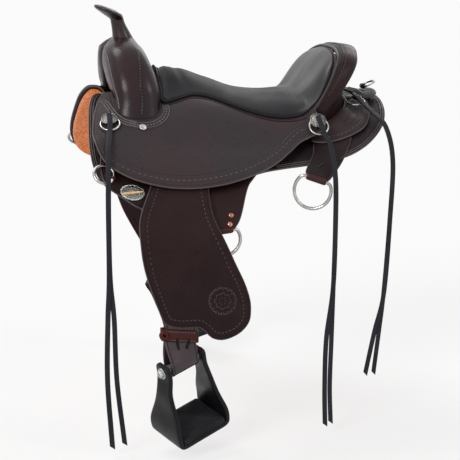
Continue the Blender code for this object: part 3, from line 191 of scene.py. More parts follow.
def bend(points, step=0.006, closed=False):
    """Smooth curve through points, sampled about every step."""
    pts = np.array(points, float)
    count = len(pts)
    out = []
    for i in range(count if closed else count - 1):
        a, b = pts[i], pts[(i + 1) % count]
        before = pts[i - 1] if closed or i > 0 else 2 * a - b
        after = pts[(i + 2) % count] if closed or i + 2 < count else 2 * b - a
        parts = max(1, round(float(np.linalg.norm(b - a)) / step))
        for t in np.arange(parts) / parts:
            out.append(0.5 * (2 * a + (b - before) * t + (2 * before - 5 * a + 4 * b - after) * t**2
                              + (3 * a - before - 3 * b + after) * t**3))
    if not closed:
        out.append(pts[-1])
    return np.array(out)


def slope_at(s):
    """Slope of the horse's side at distance s from the ridge."""
    middle = (FALL_SLOPE - FALL_START / BACK_RADIUS) * ease(s, FALL_START, FALL_MIDDLE - FALL_START)
    low = (HANG_SLOPE - FALL_SLOPE) * ease(s, FALL_MIDDLE, FALL_END - FALL_MIDDLE)
    return np.minimum(s, FALL_START) / BACK_RADIUS + middle + low


SIDE_STEP = 0.002
SIDE_LENGTH = 0.76
SIDE_S = np.arange(0, SIDE_LENGTH, SIDE_STEP)
SIDE_SLOPE = slope_at(SIDE_S + SIDE_STEP / 2)
SIDE_REACH = np.concatenate([[0], np.cumsum(np.cos(SIDE_SLOPE) * SIDE_STEP)])[:-1]
SIDE_DROP = -np.concatenate([[0], np.cumsum(np.sin(SIDE_SLOPE) * SIDE_STEP)])[:-1]


def place(x, s, lift):
    """World points at x, distance s down the back and lift over it."""
    x, s, lift = np.broadcast_arrays(np.asarray(x, float), np.asarray(s, float), np.asarray(lift, float))
    across = np.abs(s)
    slope = slope_at(across)
    side = np.where(s >= 0, -1.0, 1.0)
    reach = np.interp(across, SIDE_S, SIDE_REACH) + lift * np.sin(slope)
    drop = np.interp(across, SIDE_S, SIDE_DROP) + lift * np.cos(slope)
    return np.stack([x, side * reach, drop + RIDGE_RISE * (x / RIDGE_REACH)**2], axis=-1)


def on(x, s, lift):
    """World points and the directions straight out of a surface whose lift is a function of x and s."""
    x, s = np.asarray(x, float), np.asarray(s, float)
    step = SIDE_STEP
    here = place(x, s, lift(x, s))
    run = place(x + step, s, lift(x + step, s)) - place(x - step, s, lift(x - step, s))
    down = place(x, s + step, lift(x, s + step)) - place(x, s - step, lift(x, s - step))
    out = unit(np.cross(down, run))
    side, slope = np.where(s >= 0, -1.0, 1.0), slope_at(np.abs(s))
    plain = np.stack([0 * s, side * np.sin(slope), np.cos(slope)], axis=-1)
    return here, out * np.sign((out * plain).sum(-1))[..., None]


def spot(x, s, lift):
    """World point and the direction straight out at one place on a surface."""
    points, outs = on([x], [s], lift)
    return points[0], outs[0]


def laid(line, lift, rise=0.0):
    """Points of a line in x and s on a surface that has settled, and the directions out of it."""
    return on(*np.array(line, float).T, lambda x, s: lift(x, s) - SETTLE + rise)


rim_at = table(RIM)
floor_at = table(FLOOR)
arch_at = table(ARCH)


def rim_front(s):
    """Where the front of the cantle stands at s."""
    x, lift, half = rim_at(s)
    return float(x - half)


def seat_lift(x, s):
    """Top of the seat leather: dished seat, shoulders, and jockeys lying down the sides."""
    s = np.abs(s)
    middle, side, shoulder = floor_at(x)
    inner = middle + (side - middle) * ease(s, 0, shoulder)
    fall = np.maximum(SHOULDER_FALL - (shoulder - FLOOR[0][3]), 0.05)
    low = JOCKEY_LIFT - LOBE_DROP * ease(x, *LOBE_FORWARD) * (1 - ease(s, *LOBE_DOWN))
    outer = low + (side - low) * (1 - ease(s, shoulder, fall))
    floor = np.where(s < shoulder, inner, outer)
    rim_x, rim_lift, half = rim_at(s)
    length = DISH_LENGTH * (1 - 0.5 * ease(s, *DISH_NARROWS))
    climb = np.clip((x - (rim_x - half - length)) / length, 0, 1)**DISH_POWER
    top = rim_lift + ROLL_HALF_THICK * 0.4 + ROLL_LEAN
    return floor + (top - floor) * climb * (1 - ease(s, *RIM_FADES))


def jockey_lift(x, s):
    """Underside of the back jockey: over the bars, down on the skirts beyond them."""
    s = np.abs(s)
    reach = BAR_REAR + 0.003 + JOCKEY_REACH * (1 - ease(s, *JOCKEY_NARROWS))
    over = (1 - ease(s, BAR_OUTER + 0.002, JOCKEY_FALL)) * (1 - ease(x, reach, JOCKEY_FALL))
    return PLATE_LIFT + PLATE_THICK + GAP + (BAR_TOP - PLATE_LIFT - PLATE_THICK) * over


def flared(lift):
    """Lift of a piece that stands off further down the side."""
    return lambda x, s: lift + FLARE * ease(np.abs(s), FLARE_START, FLARE_RUN)


def level(lift):
    """The same lift everywhere."""
    return lambda x, s: lift + 0 * x


# Every piece, in the order of making
MADE = []


def mesh_object(name, verts, faces, sheen, replaced=(), body="saddle", slot=None, uv=None, rim=None):
    """Object from points and faces that rides on a body, with its faces turned out."""
    mesh = bpy.data.meshes.new(name)
    mesh.from_pydata([tuple(map(float, v)) for v in verts], [], [list(map(int, f)) for f in faces])
    bm = bmesh.new()
    bm.from_mesh(mesh)
    bmesh.ops.recalc_face_normals(bm, faces=bm.faces[:])
    bm.to_mesh(mesh)
    bm.free()
    if uv is not None:
        layer = mesh.uv_layers.new(name="flat")
        flat = np.array(uv, np.float32)
        corner = np.zeros(len(mesh.loops), np.int32)
        mesh.loops.foreach_get("vertex_index", corner)
        layer.data.foreach_set("uv", flat[corner].ravel())
    if rim is not None:
        mesh.attributes.new("rim", "FLOAT", "POINT").data.foreach_set("value", np.array(rim, np.float32))
    mesh.shade_smooth()
    mesh.set_sharp_from_angle(angle=math.radians(55))
    mesh.materials.append(SHEEN[sheen])
    obj = bpy.data.objects.new(name, mesh)
    bpy.context.scene.collection.objects.link(obj)
    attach(obj, body)
    if replaced:
        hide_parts(*replaced)
    MADE.append(obj)
    return obj


def inward(outline, distance):
    """Closed outline moved inwards."""
    run = np.roll(outline, -1, 0) - np.roll(outline, 1, 0)
    run /= np.linalg.norm(run, axis=1, keepdims=True)
    area = np.sum(np.roll(outline[:, 0], 1) * outline[:, 1] - outline[:, 0] * np.roll(outline[:, 1], 1))
    return outline + math.copysign(distance, area) * np.stack([-run[:, 1], run[:, 0]], axis=1)


def from_edge(points, outline):
    """How far points in x and s are from a closed outline."""
    best = np.full(len(points), 1e9)
    for a, b in zip(outline, np.roll(outline, -1, 0)):
        run = b - a
        share = np.clip(((points - a) @ run) / max(run @ run, 1e-12), 0, 1)
        best = np.minimum(best, np.linalg.norm(points - a - share[:, None] * run, axis=1))
    return best


def panel(name, outline, under, over, sheen, replaced=(), cell=0.009, round_edge=0.0016, body="saddle"):
    """Panel with rounded edges, laid on the back and meshed in cells."""
    outline = np.array(outline, float)
    bm = bmesh.new()
    marks = (0.0, round_edge * 0.35, round_edge)
    loops = [[bm.verts.new((*p, 0)) for p in inward(outline, d)] for d in marks]
    count = len(outline)
    for a, b in zip(loops, loops[1:]):
        for k in range(count):
            bm.faces.new((a[k], a[(k + 1) % count], b[(k + 1) % count], b[k]))
    middle = [bm.faces.new(loops[-1])]
    lo, hi = outline.min(0), outline.max(0)
    for axis in (0, 1):
        way = Vector((1 - axis, axis, 0))
        for k in range(math.ceil(lo[axis] / cell), math.floor(hi[axis] / cell) + 1):
            edges = {e for f in middle for e in f.edges}
            corners = {v for e in edges for v in e.verts}
            done = bmesh.ops.bisect_plane(bm, geom=middle + list(edges) + list(corners), dist=1e-5,
                                          plane_co=way * (k * cell), plane_no=way)
            new = {g for g in done["geom"] if isinstance(g, bmesh.types.BMFace)}
            middle = [f for f in new if f.is_valid]
    bmesh.ops.triangulate(bm, faces=[f for f in bm.faces if len(f.verts) > 4])
    bm.verts.index_update()
    flat = np.array([v.co[:2] for v in bm.verts])
    faces = [[v.index for v in f.verts] for f in bm.faces]
    rim = [(e.link_loops[0].vert.index, e.link_loops[0].link_loop_next.vert.index)
           for e in bm.edges if len(e.link_faces) == 1]
    bm.free()
    x, s = flat[:, 0], flat[:, 1]
    away = from_edge(flat, outline)
    short = np.clip(round_edge - away, 0, round_edge)
    rounded = round_edge - np.sqrt(round_edge**2 - short**2)
    top = place(x, s, over(x, s) - SETTLE - rounded)
    bottom = place(x, s, under(x, s) - SETTLE + rounded)
    size = len(flat)
    shell = faces + [[i + size for i in reversed(f)] for f in faces]
    shell += [[b, a, a + size, b + size] for a, b in rim]
    return mesh_object(name, np.vstack([top, bottom]), shell, sheen, replaced, body,
                       uv=np.vstack([flat, flat]), rim=np.concatenate([away, away]))


def loft_faces(rings, count, closed=False):
    """Faces of a skin over rings of equal count."""
    faces = []
    for r in range(rings if closed else rings - 1):
        a, b = r * count, (r + 1) % rings * count
        faces += [[a + k, a + (k + 1) % count, b + (k + 1) % count, b + k] for k in range(count)]
    if not closed:
        faces.append(list(range(count - 1, -1, -1)))
        faces.append([(rings - 1) * count + k for k in range(count)])
    return faces


def loft(name, rings, sheen, replaced=(), closed=False, **where):
    """Object with a skin over rings of points."""
    rings = np.array(rings, float)
    faces = loft_faces(len(rings), rings.shape[1], closed)
    return mesh_object(name, rings.reshape(-1, 3), faces, sheen, replaced, **where)


def turned(name, centre, axis, profile, sheen, replaced=(), sides=40, squash=None, **where):
    """Turned piece: profile of (radius, height) about an axis, with an optional change of each radius."""
    axis = unit(axis)
    across = unit(np.cross(axis, (0.31, 0.17, 0.93) if abs(axis[2]) < 0.9 else (1, 0, 0)))
    other = np.cross(axis, across)
    turns = circle(sides)
    rings = []
    for radius, height in profile:
        r = radius * (squash(turns, radius) if squash else np.ones(sides))
        flat = np.outer(r * np.cos(turns), across) + np.outer(r * np.sin(turns), other)
        rings.append(centre + flat + axis * height)
    return loft(name, rings, sheen, replaced, **where)


def tube(name, path, radius, sheen, replaced=(), closed=False, sides=12, **where):
    """Round wire or thread along a path."""
    path = np.array(path, float)
    count = len(path)
    if closed:
        along = unit(np.roll(path, -1, 0) - np.roll(path, 1, 0))
    else:
        along = unit(np.gradient(path, axis=0))
    across = unit(np.cross(along[0], (0.2, 0.5, 0.9)))
    turns = circle(sides)
    rings = []
    for p, run, r in zip(path, along, np.broadcast_to(radius, (count,))):
        across = unit(across - run * (across @ run))
        other = np.cross(run, across)
        rings.append(p + r * (np.outer(np.cos(turns), across) + np.outer(np.sin(turns), other)))
    if not closed:
        return loft(name, rings, sheen, replaced, **where)
    end, start = rings[-1], rings[0]
    shift = int(np.argmin([np.linalg.norm(end - np.roll(start, -k, 0)) for k in range(sides)]))
    first = (count - 1) * sides
    joined = [[first + k, first + (k + 1) % sides, (k + 1 + shift) % sides, (k + shift) % sides]
              for k in range(sides)]
    faces = loft_faces(count, sides, True)[:first] + joined
    return mesh_object(name, np.vstack(rings), faces, sheen, replaced, **where)


def spindle(length, thick, sides=5):
    """Points and faces of one stitch: a short thread that dips at both ends."""
    verts = []
    for along, size, drop in ((-0.5, 0.35, -0.5), (-0.28, 0.95, 0.0), (0.28, 0.95, 0.0), (0.5, 0.35, -0.5)):
        for turn in circle(sides):
            high = size * math.sin(turn) * 0.8 + drop
            verts.append((along * length, thick * size * math.cos(turn), thick * high))
    return np.array(verts), loft_faces(4, sides)


def crescent(radius, thick, sides=4, parts=7, sweep=math.radians(200)):
    """Points and faces of one stamped half moon, open downwards."""
    verts = []
    for i in range(parts):
        turn = -sweep / 2 + sweep * i / (parts - 1) + math.pi / 2
        size = thick * (0.4 + 0.6 * math.sin(math.pi * i / (parts - 1)))
        for k in circle(sides):
            reach = radius + size * math.cos(k)
            verts.append((reach * math.cos(turn), reach * math.sin(turn), size * math.sin(k) * 0.7))
    return np.array(verts), loft_faces(parts, sides)


def bead(radius, flat=0.55, sides=6):
    """Points and faces of one low round bead."""
    verts = []
    for height, size in ((-0.3, 1.0), (0.35, 0.85), (0.8, 0.45)):
        for turn in circle(sides):
            reach = radius * size
            verts.append((reach * math.cos(turn), reach * math.sin(turn), radius * flat * height))
    return np.array(verts), loft_faces(3, sides)


def row(name, points, outs, shape, sheen, **where):
    """One mesh of the same small shape at each point, turned along the line and to the way out."""
    verts, faces = shape
    along = unit(np.gradient(points, axis=0))
    across = unit(np.cross(outs, along))
    ways = (along, across, np.cross(along, across))
    spots = np.array(points)[:, None]
    for k, way in enumerate(ways):
        spots = spots + verts[None, :, k:k + 1] * way[:, None]
    skin = [[i + n * len(verts) for i in f] for n in range(len(points)) for f in faces]
    return mesh_object(name, spots.reshape(-1, 3), skin, sheen, **where)


def spaced(line, pitch):
    """Points an even pitch apart along a line, whose columns past the third are carried along."""
    line = np.array(line, float)
    gone = np.concatenate([[0], np.cumsum(np.linalg.norm(np.diff(line[:, :3], axis=0), axis=1))])
    at = np.arange(pitch / 2, gone[-1], pitch)
    return np.stack([np.interp(at, gone, line[:, c]) for c in range(line.shape[1])], axis=1)


# Stitches: pitch, length and thickness, or length and thickness alone
SKIRT_STITCH = (0.0072, 0.0048, 0.0007)
BACK_STITCH = (0.0090, 0.0060, 0.0008)
JOCKEY_STITCH = (0.0105, 0.0060, 0.0008)
FENDER_STITCH = (0.0076, 0.0058, 0.0011)
HOBBLE_STITCH = (0.0052, 0.0036, 0.0007)
SWELL_THREAD = (0.0040, 0.0016)
CANTLE_THREAD = (0.0050, 0.0012)
STRAP_THREAD = (0.0050, 0.0007)
STITCH_RISE = 0.0001

# Radii of raised lines, welts and pipings
FINE_LINE = 0.0009
SKIRT_LINE = 0.0008
LOBE_LINE_RADIUS = 0.0015
SLOT_LINE = 0.0017
SEAT_WELT = 0.0021
FRONT_WELT = 0.0019
SWELL_WELT = 0.0015
# Radius of the black tube that paints the shade of the swell's rear seam
SWELL_SEAM_SHADE = 0.0024
CANTLE_PIPING = 0.0024
CANTLE_SEAM = 0.0013
STRAP_CREASE = 0.0009
LACE_KNOT = 0.0026


def sewn(name, line, lift, sheen, stitch, **where):
    """Row of stitches along a line in x and s on a surface."""
    pitch, length, thick = stitch
    points, outs = laid(spaced(line, pitch), lift, STITCH_RISE)
    return row(name, points, outs, spindle(length, thick), sheen, **where)


def cord_line(name, line, lift, radius, sheen, step=0.005):
    """Raised round line on a surface along a line in x and s."""
    points, outs = laid(bend(line, step), lift)
    return tube(name, points + outs * radius * 0.25, radius, sheen, sides=8)


def lin(red, green, blue):
    """Linear colour of an sRGB colour in 0-255."""
    return tuple(c / 12.92 if c <= 0.04045 else ((c + 0.055) / 1.055)**2.4
                 for c in (red / 255, green / 255, blue / 255)) + (1.0,)


class Tree:
    """Node tree of a new material, with a short way to add nodes."""

    def __init__(self, name):
        self.material = bpy.data.materials.new(name)
        self.material.use_nodes = True
        self.nodes = self.material.node_tree.nodes
        self.links = self.material.node_tree.links
        self.shader = self.nodes["Principled BSDF"]
        self.place = self.add("ShaderNodeTexCoord").outputs["Object"]

    def add(self, kind, settings=None, **inputs):
        node = self.nodes.new(kind)
        for key, value in (settings or {}).items():
            setattr(node, key, value)
        for key, value in inputs.items():
            self.set(node.inputs[key.replace("_", " ")], value)
        return node

    def set(self, socket, value):
        if isinstance(value, bpy.types.NodeSocket):
            self.links.new(value, socket)
        else:
            socket.default_value = value

    def noise(self, scale, detail=3.0, rough=0.55, stretch=None):
        at = self.place
        if stretch:
            at = self.add("ShaderNodeMapping", Vector=at, Scale=stretch).outputs[0]
        return self.add("ShaderNodeTexNoise", Vector=at, Scale=scale, Detail=detail,
                        Roughness=rough).outputs["Fac"]

    def cells(self, scale, feature="F1"):
        return self.add("ShaderNodeTexVoronoi", {"feature": feature}, Vector=self.place,
                        Scale=scale).outputs["Distance"]

    def ramp(self, value, low, high, start=0.0, end=1.0):
        node = self.add("ShaderNodeMapRange", {"interpolation_type": "SMOOTHSTEP"}, Value=value)
        for key, number in (("From Min", low), ("From Max", high), ("To Min", start), ("To Max", end)):
            self.set(node.inputs[key], number)
        return node.outputs["Result"]

    def mix(self, share, first, second):
        node = self.add("ShaderNodeMix", {"data_type": "RGBA"})
        self.set(node.inputs[0], share)
        self.set(node.inputs[6], first)
        self.set(node.inputs[7], second)
        return node.outputs[2]

    def math(self, operation, first, second=0.0):
        node = self.add("ShaderNodeMath", {"operation": operation})
        self.set(node.inputs[0], first)
        self.set(node.inputs[1], second)
        return node.outputs[0]

    def bump(self, height, depth, strength, normal=None):
        node = self.add("ShaderNodeBump", Height=height, Distance=depth, Strength=strength)
        if normal:
            self.set(node.inputs["Normal"], normal)
        return node.outputs["Normal"]

    def surface(self, colour, rough, metal=0.0, normal=None, specular=0.5, coat=0.0, sheen=0.0):
        for key, value in (("Base Color", colour), ("Roughness", rough), ("Metallic", metal),
                           ("Specular IOR Level", specular), ("Coat Weight", coat), ("Sheen Weight", sheen)):
            self.set(self.shader.inputs[key], value)
        if normal:
            self.set(self.shader.inputs["Normal"], normal)
        return self.material


def leather(name, colour, second, rough=(0.36, 0.56), grain=0.00035, edge=None, lines=(), specular=0.22,
            coat=0.0):
    """Leather: mottled colour, fine grain, creases, and a rim lightened as a painted highlight, with tooled
    lines inside it.
    """
    t = Tree(name)
    cloud = t.ramp(t.noise(7.0, 4.0), 0.36, 0.66)
    tone = t.mix(cloud, colour, second)
    dark = tuple(c * 0.62 for c in colour[:3]) + (1.0,)
    tone = t.mix(t.ramp(t.noise(120.0, 2.0), 0.50, 0.80, 0.0, 0.55), tone, dark)
    wear = t.ramp(t.noise(24.0, 5.0, 0.65), 0.30, 0.72)
    normal = t.bump(t.cells(430.0), grain, 0.35)
    normal = t.bump(t.noise(34.0, 4.0), 0.0011, 0.5, normal)
    if edge or lines:
        rim = t.add("ShaderNodeAttribute", {"attribute_name": "rim"}).outputs["Fac"]
    if lines:
        near = 0.0
        for at in lines:
            away = t.math("ABSOLUTE", t.math("SUBTRACT", rim, at))
            near = t.math("MAXIMUM", t.ramp(away, 0.0003, 0.0014, 1.0, 0.0), near)
        tone = t.mix(t.math("MULTIPLY", near, 0.7), tone, dark)
        normal = t.bump(t.math("SUBTRACT", 1.0, near), 0.0007, 0.8, normal)
    # Lightening the rim towards the edge colour is a painted highlight, where edges catch light.
    if edge:
        tone = t.mix(t.ramp(rim, 0.0005, 0.0021, 0.85, 0.0), tone, edge)
    return t.surface(tone, t.ramp(wear, 0.0, 1.0, rough[0], rough[1]), normal=normal, specular=specular,
                     coat=coat)


def fleece(name, colour, second):
    """Woolly lining: tufts in two tones."""
    t = Tree(name)
    tufts = t.cells(150.0)
    tone = t.mix(t.ramp(tufts, 0.15, 0.75), colour, second)
    dark = tuple(c * 0.8 for c in second[:3]) + (1,)
    tone = t.mix(t.ramp(t.noise(18.0, 3.0), 0.35, 0.7, 0.0, 0.35), tone, dark)
    normal = t.bump(tufts, 0.0035, 0.7)
    normal = t.bump(t.noise(600.0, 3.0), 0.0012, 0.6, normal)
    return t.surface(tone, t.ramp(tufts, 0.0, 1.0, 0.85, 1.0), normal=normal, specular=0.15, sheen=0.3)


def metal(name, colour, second, rough=(0.18, 0.34), engraved=0.0):
    """Worked metal: tone and shine vary, with fine scratches and an engraved ground where asked."""
    t = Tree(name)
    tone = t.mix(t.ramp(t.noise(60.0, 4.0), 0.35, 0.65), colour, second)
    scratch = t.noise(420.0, 3.0, 0.6, (1.0, 0.12, 1.0))
    normal = t.bump(scratch, 0.0002, 0.35)
    if engraved:
        cuts = t.cells(380.0, "DISTANCE_TO_EDGE")
        tone = t.mix(t.ramp(cuts, 0.0, 0.20, 0.90, 0.0), tone, lin(44, 40, 40))
        normal = t.bump(cuts, engraved, 0.8, normal)
    return t.surface(tone, t.ramp(t.noise(45.0, 3.0), 0.3, 0.7, rough[0], rough[1]), 1.0, normal)


def wood(name):
    """Raw wood of the tree, with grain along the bars."""
    t = Tree(name)
    rings = t.noise(70.0, 4.0, 0.6, (0.10, 1.0, 1.0))
    tone = t.mix(t.ramp(rings, 0.35, 0.65), lin(104, 72, 50), lin(78, 52, 36))
    return t.surface(tone, t.ramp(rings, 0.2, 0.8, 0.5, 0.7), normal=t.bump(rings, 0.0008, 0.5))


def grainy(name, colour, second, rough=(0.45, 0.7), scale=300.0, depth=0.0003, specular=0.5):
    """Painted or moulded surface with fine texture and wear."""
    t = Tree(name)
    tone = t.mix(t.ramp(t.noise(22.0, 5.0), 0.35, 0.7), colour, second)
    normal = t.bump(t.noise(scale, 4.0, 0.6), depth, 0.5)
    return t.surface(tone, t.ramp(t.noise(40.0, 3.0), 0.3, 0.7, rough[0], rough[1]), normal=normal,
                     specular=specular)


# Where the seat is worn to a shine: it starts and is full at these places along the horse
POLISHED = (0.085, 0.160)


def cloth(name, colour, second):
    """Soft seat hide: fine pebble, broad soft wrinkles, dull but polished against the cantle."""
    t = Tree(name)
    tone = t.mix(t.ramp(t.noise(14.0, 4.0), 0.35, 0.65), colour, second)
    normal = t.bump(t.cells(520.0), 0.0004, 0.4)
    normal = t.bump(t.noise(40.0, 3.0, 0.5, (1.0, 0.6, 1.0)), 0.0010, 0.20, normal)
    polish = t.ramp(t.add("ShaderNodeSeparateXYZ", Vector=t.place).outputs["X"], *POLISHED)
    dull = t.ramp(t.noise(30.0, 4.0), 0.3, 0.7, 0.42, 0.48)
    rough = t.math("SUBTRACT", dull, t.math("MULTIPLY", polish, 0.12))
    t.set(t.shader.inputs["Coat Roughness"], 0.36)
    return t.surface(tone, rough, normal=normal, specular=0.09, coat=t.math("MULTIPLY", polish, 0.45))


def thread(name, colour, second):
    """Waxed thread: twisted fibres."""
    t = Tree(name)
    twist = t.noise(900.0, 2.0)
    tone = t.mix(t.ramp(twist, 0.35, 0.65), colour, second)
    rough = t.ramp(t.noise(90.0, 2.0), 0.3, 0.7, 0.45, 0.65)
    return t.surface(tone, rough, normal=t.bump(twist, 0.0002, 0.5), specular=0.25)


# Colour of the painted highlight along leather rims.
EDGE_HIGHLIGHT = lin(98, 86, 84)
SHEEN = {
    "jockey": leather("jockey_leather", lin(49, 43, 46), lin(56, 43, 45), (0.40, 0.54), edge=EDGE_HIGHLIGHT,
                      lines=(0.0052, 0.0250), specular=0.18),
    "skirt": leather("skirt_leather", lin(34, 28, 31), lin(42, 31, 33), (0.36, 0.52), edge=EDGE_HIGHLIGHT,
                     lines=(0.0022, 0.0063, 0.0120), specular=0.12),
    "fender": leather("fender_leather", lin(34, 20, 22), lin(43, 26, 27), (0.42, 0.58), edge=EDGE_HIGHLIGHT,
                      lines=(0.0050, 0.0145), specular=0.12),
    "plain": leather("plain_leather", lin(30, 20, 23), lin(42, 25, 27), (0.34, 0.46), specular=0.12),
    # Light leather of raised lines, welts and beads: its lightness is a painted sheen, where they catch
    # light.
    "edging": leather("painted_sheen_leather", lin(98, 88, 89), lin(76, 65, 67), (0.34, 0.50), specular=0.4),
    "plate": leather("rigging_leather", lin(38, 22, 23), lin(52, 26, 26), (0.38, 0.56), edge=EDGE_HIGHLIGHT,
                     lines=(0.0046,), specular=0.14),
    "strap": leather("strap_leather", lin(34, 25, 28), lin(44, 27, 29), (0.38, 0.54), edge=EDGE_HIGHLIGHT,
                     lines=(0.0046,), specular=0.15),
    "stamp": leather("stamp_leather", lin(70, 60, 62), lin(48, 38, 40), (0.40, 0.55), specular=0.2),
    "fold": leather("fold_leather", lin(58, 26, 26), lin(70, 34, 32), (0.36, 0.52), specular=0.2),
    "swell": leather("swell_leather", lin(34, 22, 26), lin(47, 27, 31), (0.25, 0.35), grain=0.00022,
                     specular=0.22),
    "horn": leather("horn_leather", lin(32, 21, 24), lin(44, 25, 27), (0.24, 0.34), grain=0.00015,
                    specular=0.35),
    "wrap": leather("stirrup_leather_hide", lin(48, 33, 39), lin(62, 36, 38), (0.20, 0.32), specular=0.5),
    "hobble": leather("hobble_hide", lin(60, 27, 26), lin(80, 38, 34), (0.42, 0.58), specular=0.15),
    "string": leather("string_hide", lin(26, 27, 33), lin(36, 37, 43), (0.42, 0.60), grain=0.0002,
                      specular=0.2),
    "seat": cloth("seat_hide", lin(20, 20, 23), lin(28, 28, 31)),
    "lining": fleece("lining_fleece", lin(238, 150, 90), lin(218, 120, 64)),
    "silver": metal("silver", (0.54, 0.53, 0.51, 1), (0.38, 0.37, 0.355, 1)),
    "engraved": metal("engraved_silver", (0.34, 0.33, 0.31, 1), (0.19, 0.18, 0.175, 1), (0.28, 0.44), 0.0010),
    "gold": metal("gold_tone", (0.76, 0.56, 0.26, 1), (0.58, 0.40, 0.18, 1)),
    "copper": metal("copper", (0.44, 0.20, 0.13, 1), (0.32, 0.14, 0.09, 1)),
    "steel": metal("steel", (0.56, 0.57, 0.58, 1), (0.38, 0.39, 0.40, 1), (0.26, 0.42)),
    "black": grainy("black_paint", lin(13, 13, 15), lin(21, 21, 24), (0.30, 0.44), specular=0.16),
    "rubber": grainy("tread_rubber", lin(34, 34, 37), lin(44, 44, 48), (0.70, 0.90), 500.0, 0.0005, 0.12),
    "wood": wood("tree_wood"),
    "thread": thread("stitch_thread", lin(118, 108, 106), lin(84, 74, 74)),
    "low_thread": thread("low_thread", lin(78, 68, 71), lin(50, 41, 44)),
    "dark_thread": thread("dark_thread", lin(62, 52, 54), lin(36, 28, 30)),
    "core": leather("ground_seat_hide", lin(60, 42, 36), lin(72, 50, 42), (0.5, 0.7)),
}

SIDES = ((1, "left"), (-1, "right"))


def joint(child):
    """Pivot point of the joint that carries a body, and its unit axis, pointing up."""
    found = JOINTS[child]
    axis = unit(found["axis"])
    return np.array(found["pos_m"]), axis if axis[2] > 0 else -axis


def to_side(line, side):
    """Line in x and s put on the given side."""
    return np.array(line, float) * (1, side)


def outline_of(points, side=1):
    """Closed outline in x and s through control points, on the given side."""
    return to_side(bend(points, closed=True), side)


def whole(half):
    """Closed outline from its near half, which starts and ends on the middle line."""
    return np.vstack([half, (half * (1, -1))[::-1][1:-1]])


SKIRT = [(-0.255, 0.036), (-0.286, 0.044), (-0.302, 0.085), (-0.310, 0.144), (-0.314, 0.200),
         (-0.311, 0.245), (-0.296, 0.278), (-0.262, 0.296), (-0.200, 0.300), (-0.120, 0.288),
         (-0.050, 0.258), (0.010, 0.235), (0.060, 0.227), (0.130, 0.223), (0.190, 0.216),
         (0.231, 0.200), (0.262, 0.176), (0.285, 0.146), (0.299, 0.110), (0.307, 0.070),
         (0.311, 0.030), (0.310, 0.006), (0.280, 0.005), (0.160, 0.008), (0.020, 0.015), (-0.120, 0.017),
         (-0.215, 0.027)]
SKIRT_SEAM = [(-0.262, 0.060), (-0.289, 0.092), (-0.298, 0.146), (-0.302, 0.200), (-0.299, 0.240),
              (-0.287, 0.268), (-0.258, 0.284), (-0.200, 0.288), (-0.122, 0.276), (-0.053, 0.247),
              (0.008, 0.223), (0.060, 0.215), (0.130, 0.211), (0.186, 0.204), (0.224, 0.190),
              (0.253, 0.168), (0.274, 0.140), (0.287, 0.107), (0.295, 0.068), (0.299, 0.032)]
BACK_JOCKEY = [(0.158, 0.148), (0.135, 0.160), (0.128, 0.174), (0.154, 0.182), (0.188, 0.179),
               (0.218, 0.170), (0.242, 0.156), (0.258, 0.130), (0.270, 0.090), (0.277, 0.040), (0.279, 0.0)]
BACK_SEAM = [(0.160, 0.169), (0.188, 0.167), (0.213, 0.158), (0.232, 0.147), (0.247, 0.125),
             (0.258, 0.088), (0.265, 0.040), (0.267, 0.0)]
PLATE = [(-0.262, 0.162), (-0.288, 0.190), (-0.298, 0.235), (-0.297, 0.270), (-0.284, 0.290),
         (-0.262, 0.303), (-0.236, 0.317), (-0.200, 0.324), (-0.150, 0.326), (-0.112, 0.340),
         (-0.086, 0.352), (-0.060, 0.350), (-0.047, 0.338), (-0.037, 0.318), (-0.024, 0.282),
         (-0.015, 0.262), (0.000, 0.244), (0.016, 0.222), (0.018, 0.190), (-0.004, 0.166),
         (-0.060, 0.158), (-0.160, 0.156)]
CINCH_DEE = ((-0.098, 0.353), (-0.050, 0.346), 0.030)
BREAST_DEE = ((-0.2743, 0.2629), (-0.2817, 0.2771), 0.0195)
REAR_STRAP = [(0.140, 0.166), (0.122, 0.205), (0.100, 0.243), (0.118, 0.256), (0.138, 0.268),
              (0.160, 0.250), (0.186, 0.217), (0.208, 0.166)]
REAR_DEE = ((0.094, 0.2475), (0.143, 0.2735), 0.036)
FENDER = [(-0.196, 0.226), (-0.203, 0.252), (-0.210, 0.280), (-0.221, 0.305), (-0.232, 0.330),
          (-0.239, 0.358), (-0.238, 0.390), (-0.234, 0.413), (-0.226, 0.441), (-0.213, 0.478),
          (-0.203, 0.503), (-0.194, 0.518), (-0.170, 0.524), (-0.140, 0.522), (-0.128, 0.522),
          (-0.117, 0.532), (-0.106, 0.542), (-0.088, 0.546), (-0.068, 0.541), (-0.048, 0.529),
          (-0.034, 0.510), (-0.031, 0.486), (-0.034, 0.462), (-0.046, 0.428), (-0.064, 0.396),
          (-0.086, 0.356), (-0.096, 0.330), (-0.099, 0.300), (-0.098, 0.264), (-0.100, 0.226)]
CONCHOS = {"front": (-0.271, 0.148), "middle": (0.137, 0.160), "back": (0.245, 0.066)}
STAMP = (-0.086, 0.469)
BAR = [(-0.243, 0.085), (-0.238, 0.050), (-0.180, 0.030), (-0.020, 0.044), (0.130, 0.030), (0.202, 0.042),
       (0.214, 0.080), (0.194, 0.124), (0.140, 0.126), (-0.020, 0.114), (-0.180, 0.132), (-0.238, 0.130)]
CURL = bend([(0.030, 0.0400), (0.044, 0.0365), (0.065, 0.0290), (0.085, 0.0225), (0.105, 0.0165),
             (0.125, 0.0112), (0.145, 0.0068), (0.165, 0.0035), (0.185, 0.0012), (0.205, 0)])
CURL_FORWARD = (-0.230, -0.040)
NEAR_CURL = 0.78
LINING_INSET = (0.006, 0.013)
LINING_FORWARD = (-0.200, -0.060)
SKIRT_LINES = (0.0042, 0.0084)
SKIRT_LINE_TOP = 0.050
SKIRT_LINE_PARTS = {"rear": (0.045, 1), "front": (-0.245, -1)}
BAR_CLEAR = 0.0008
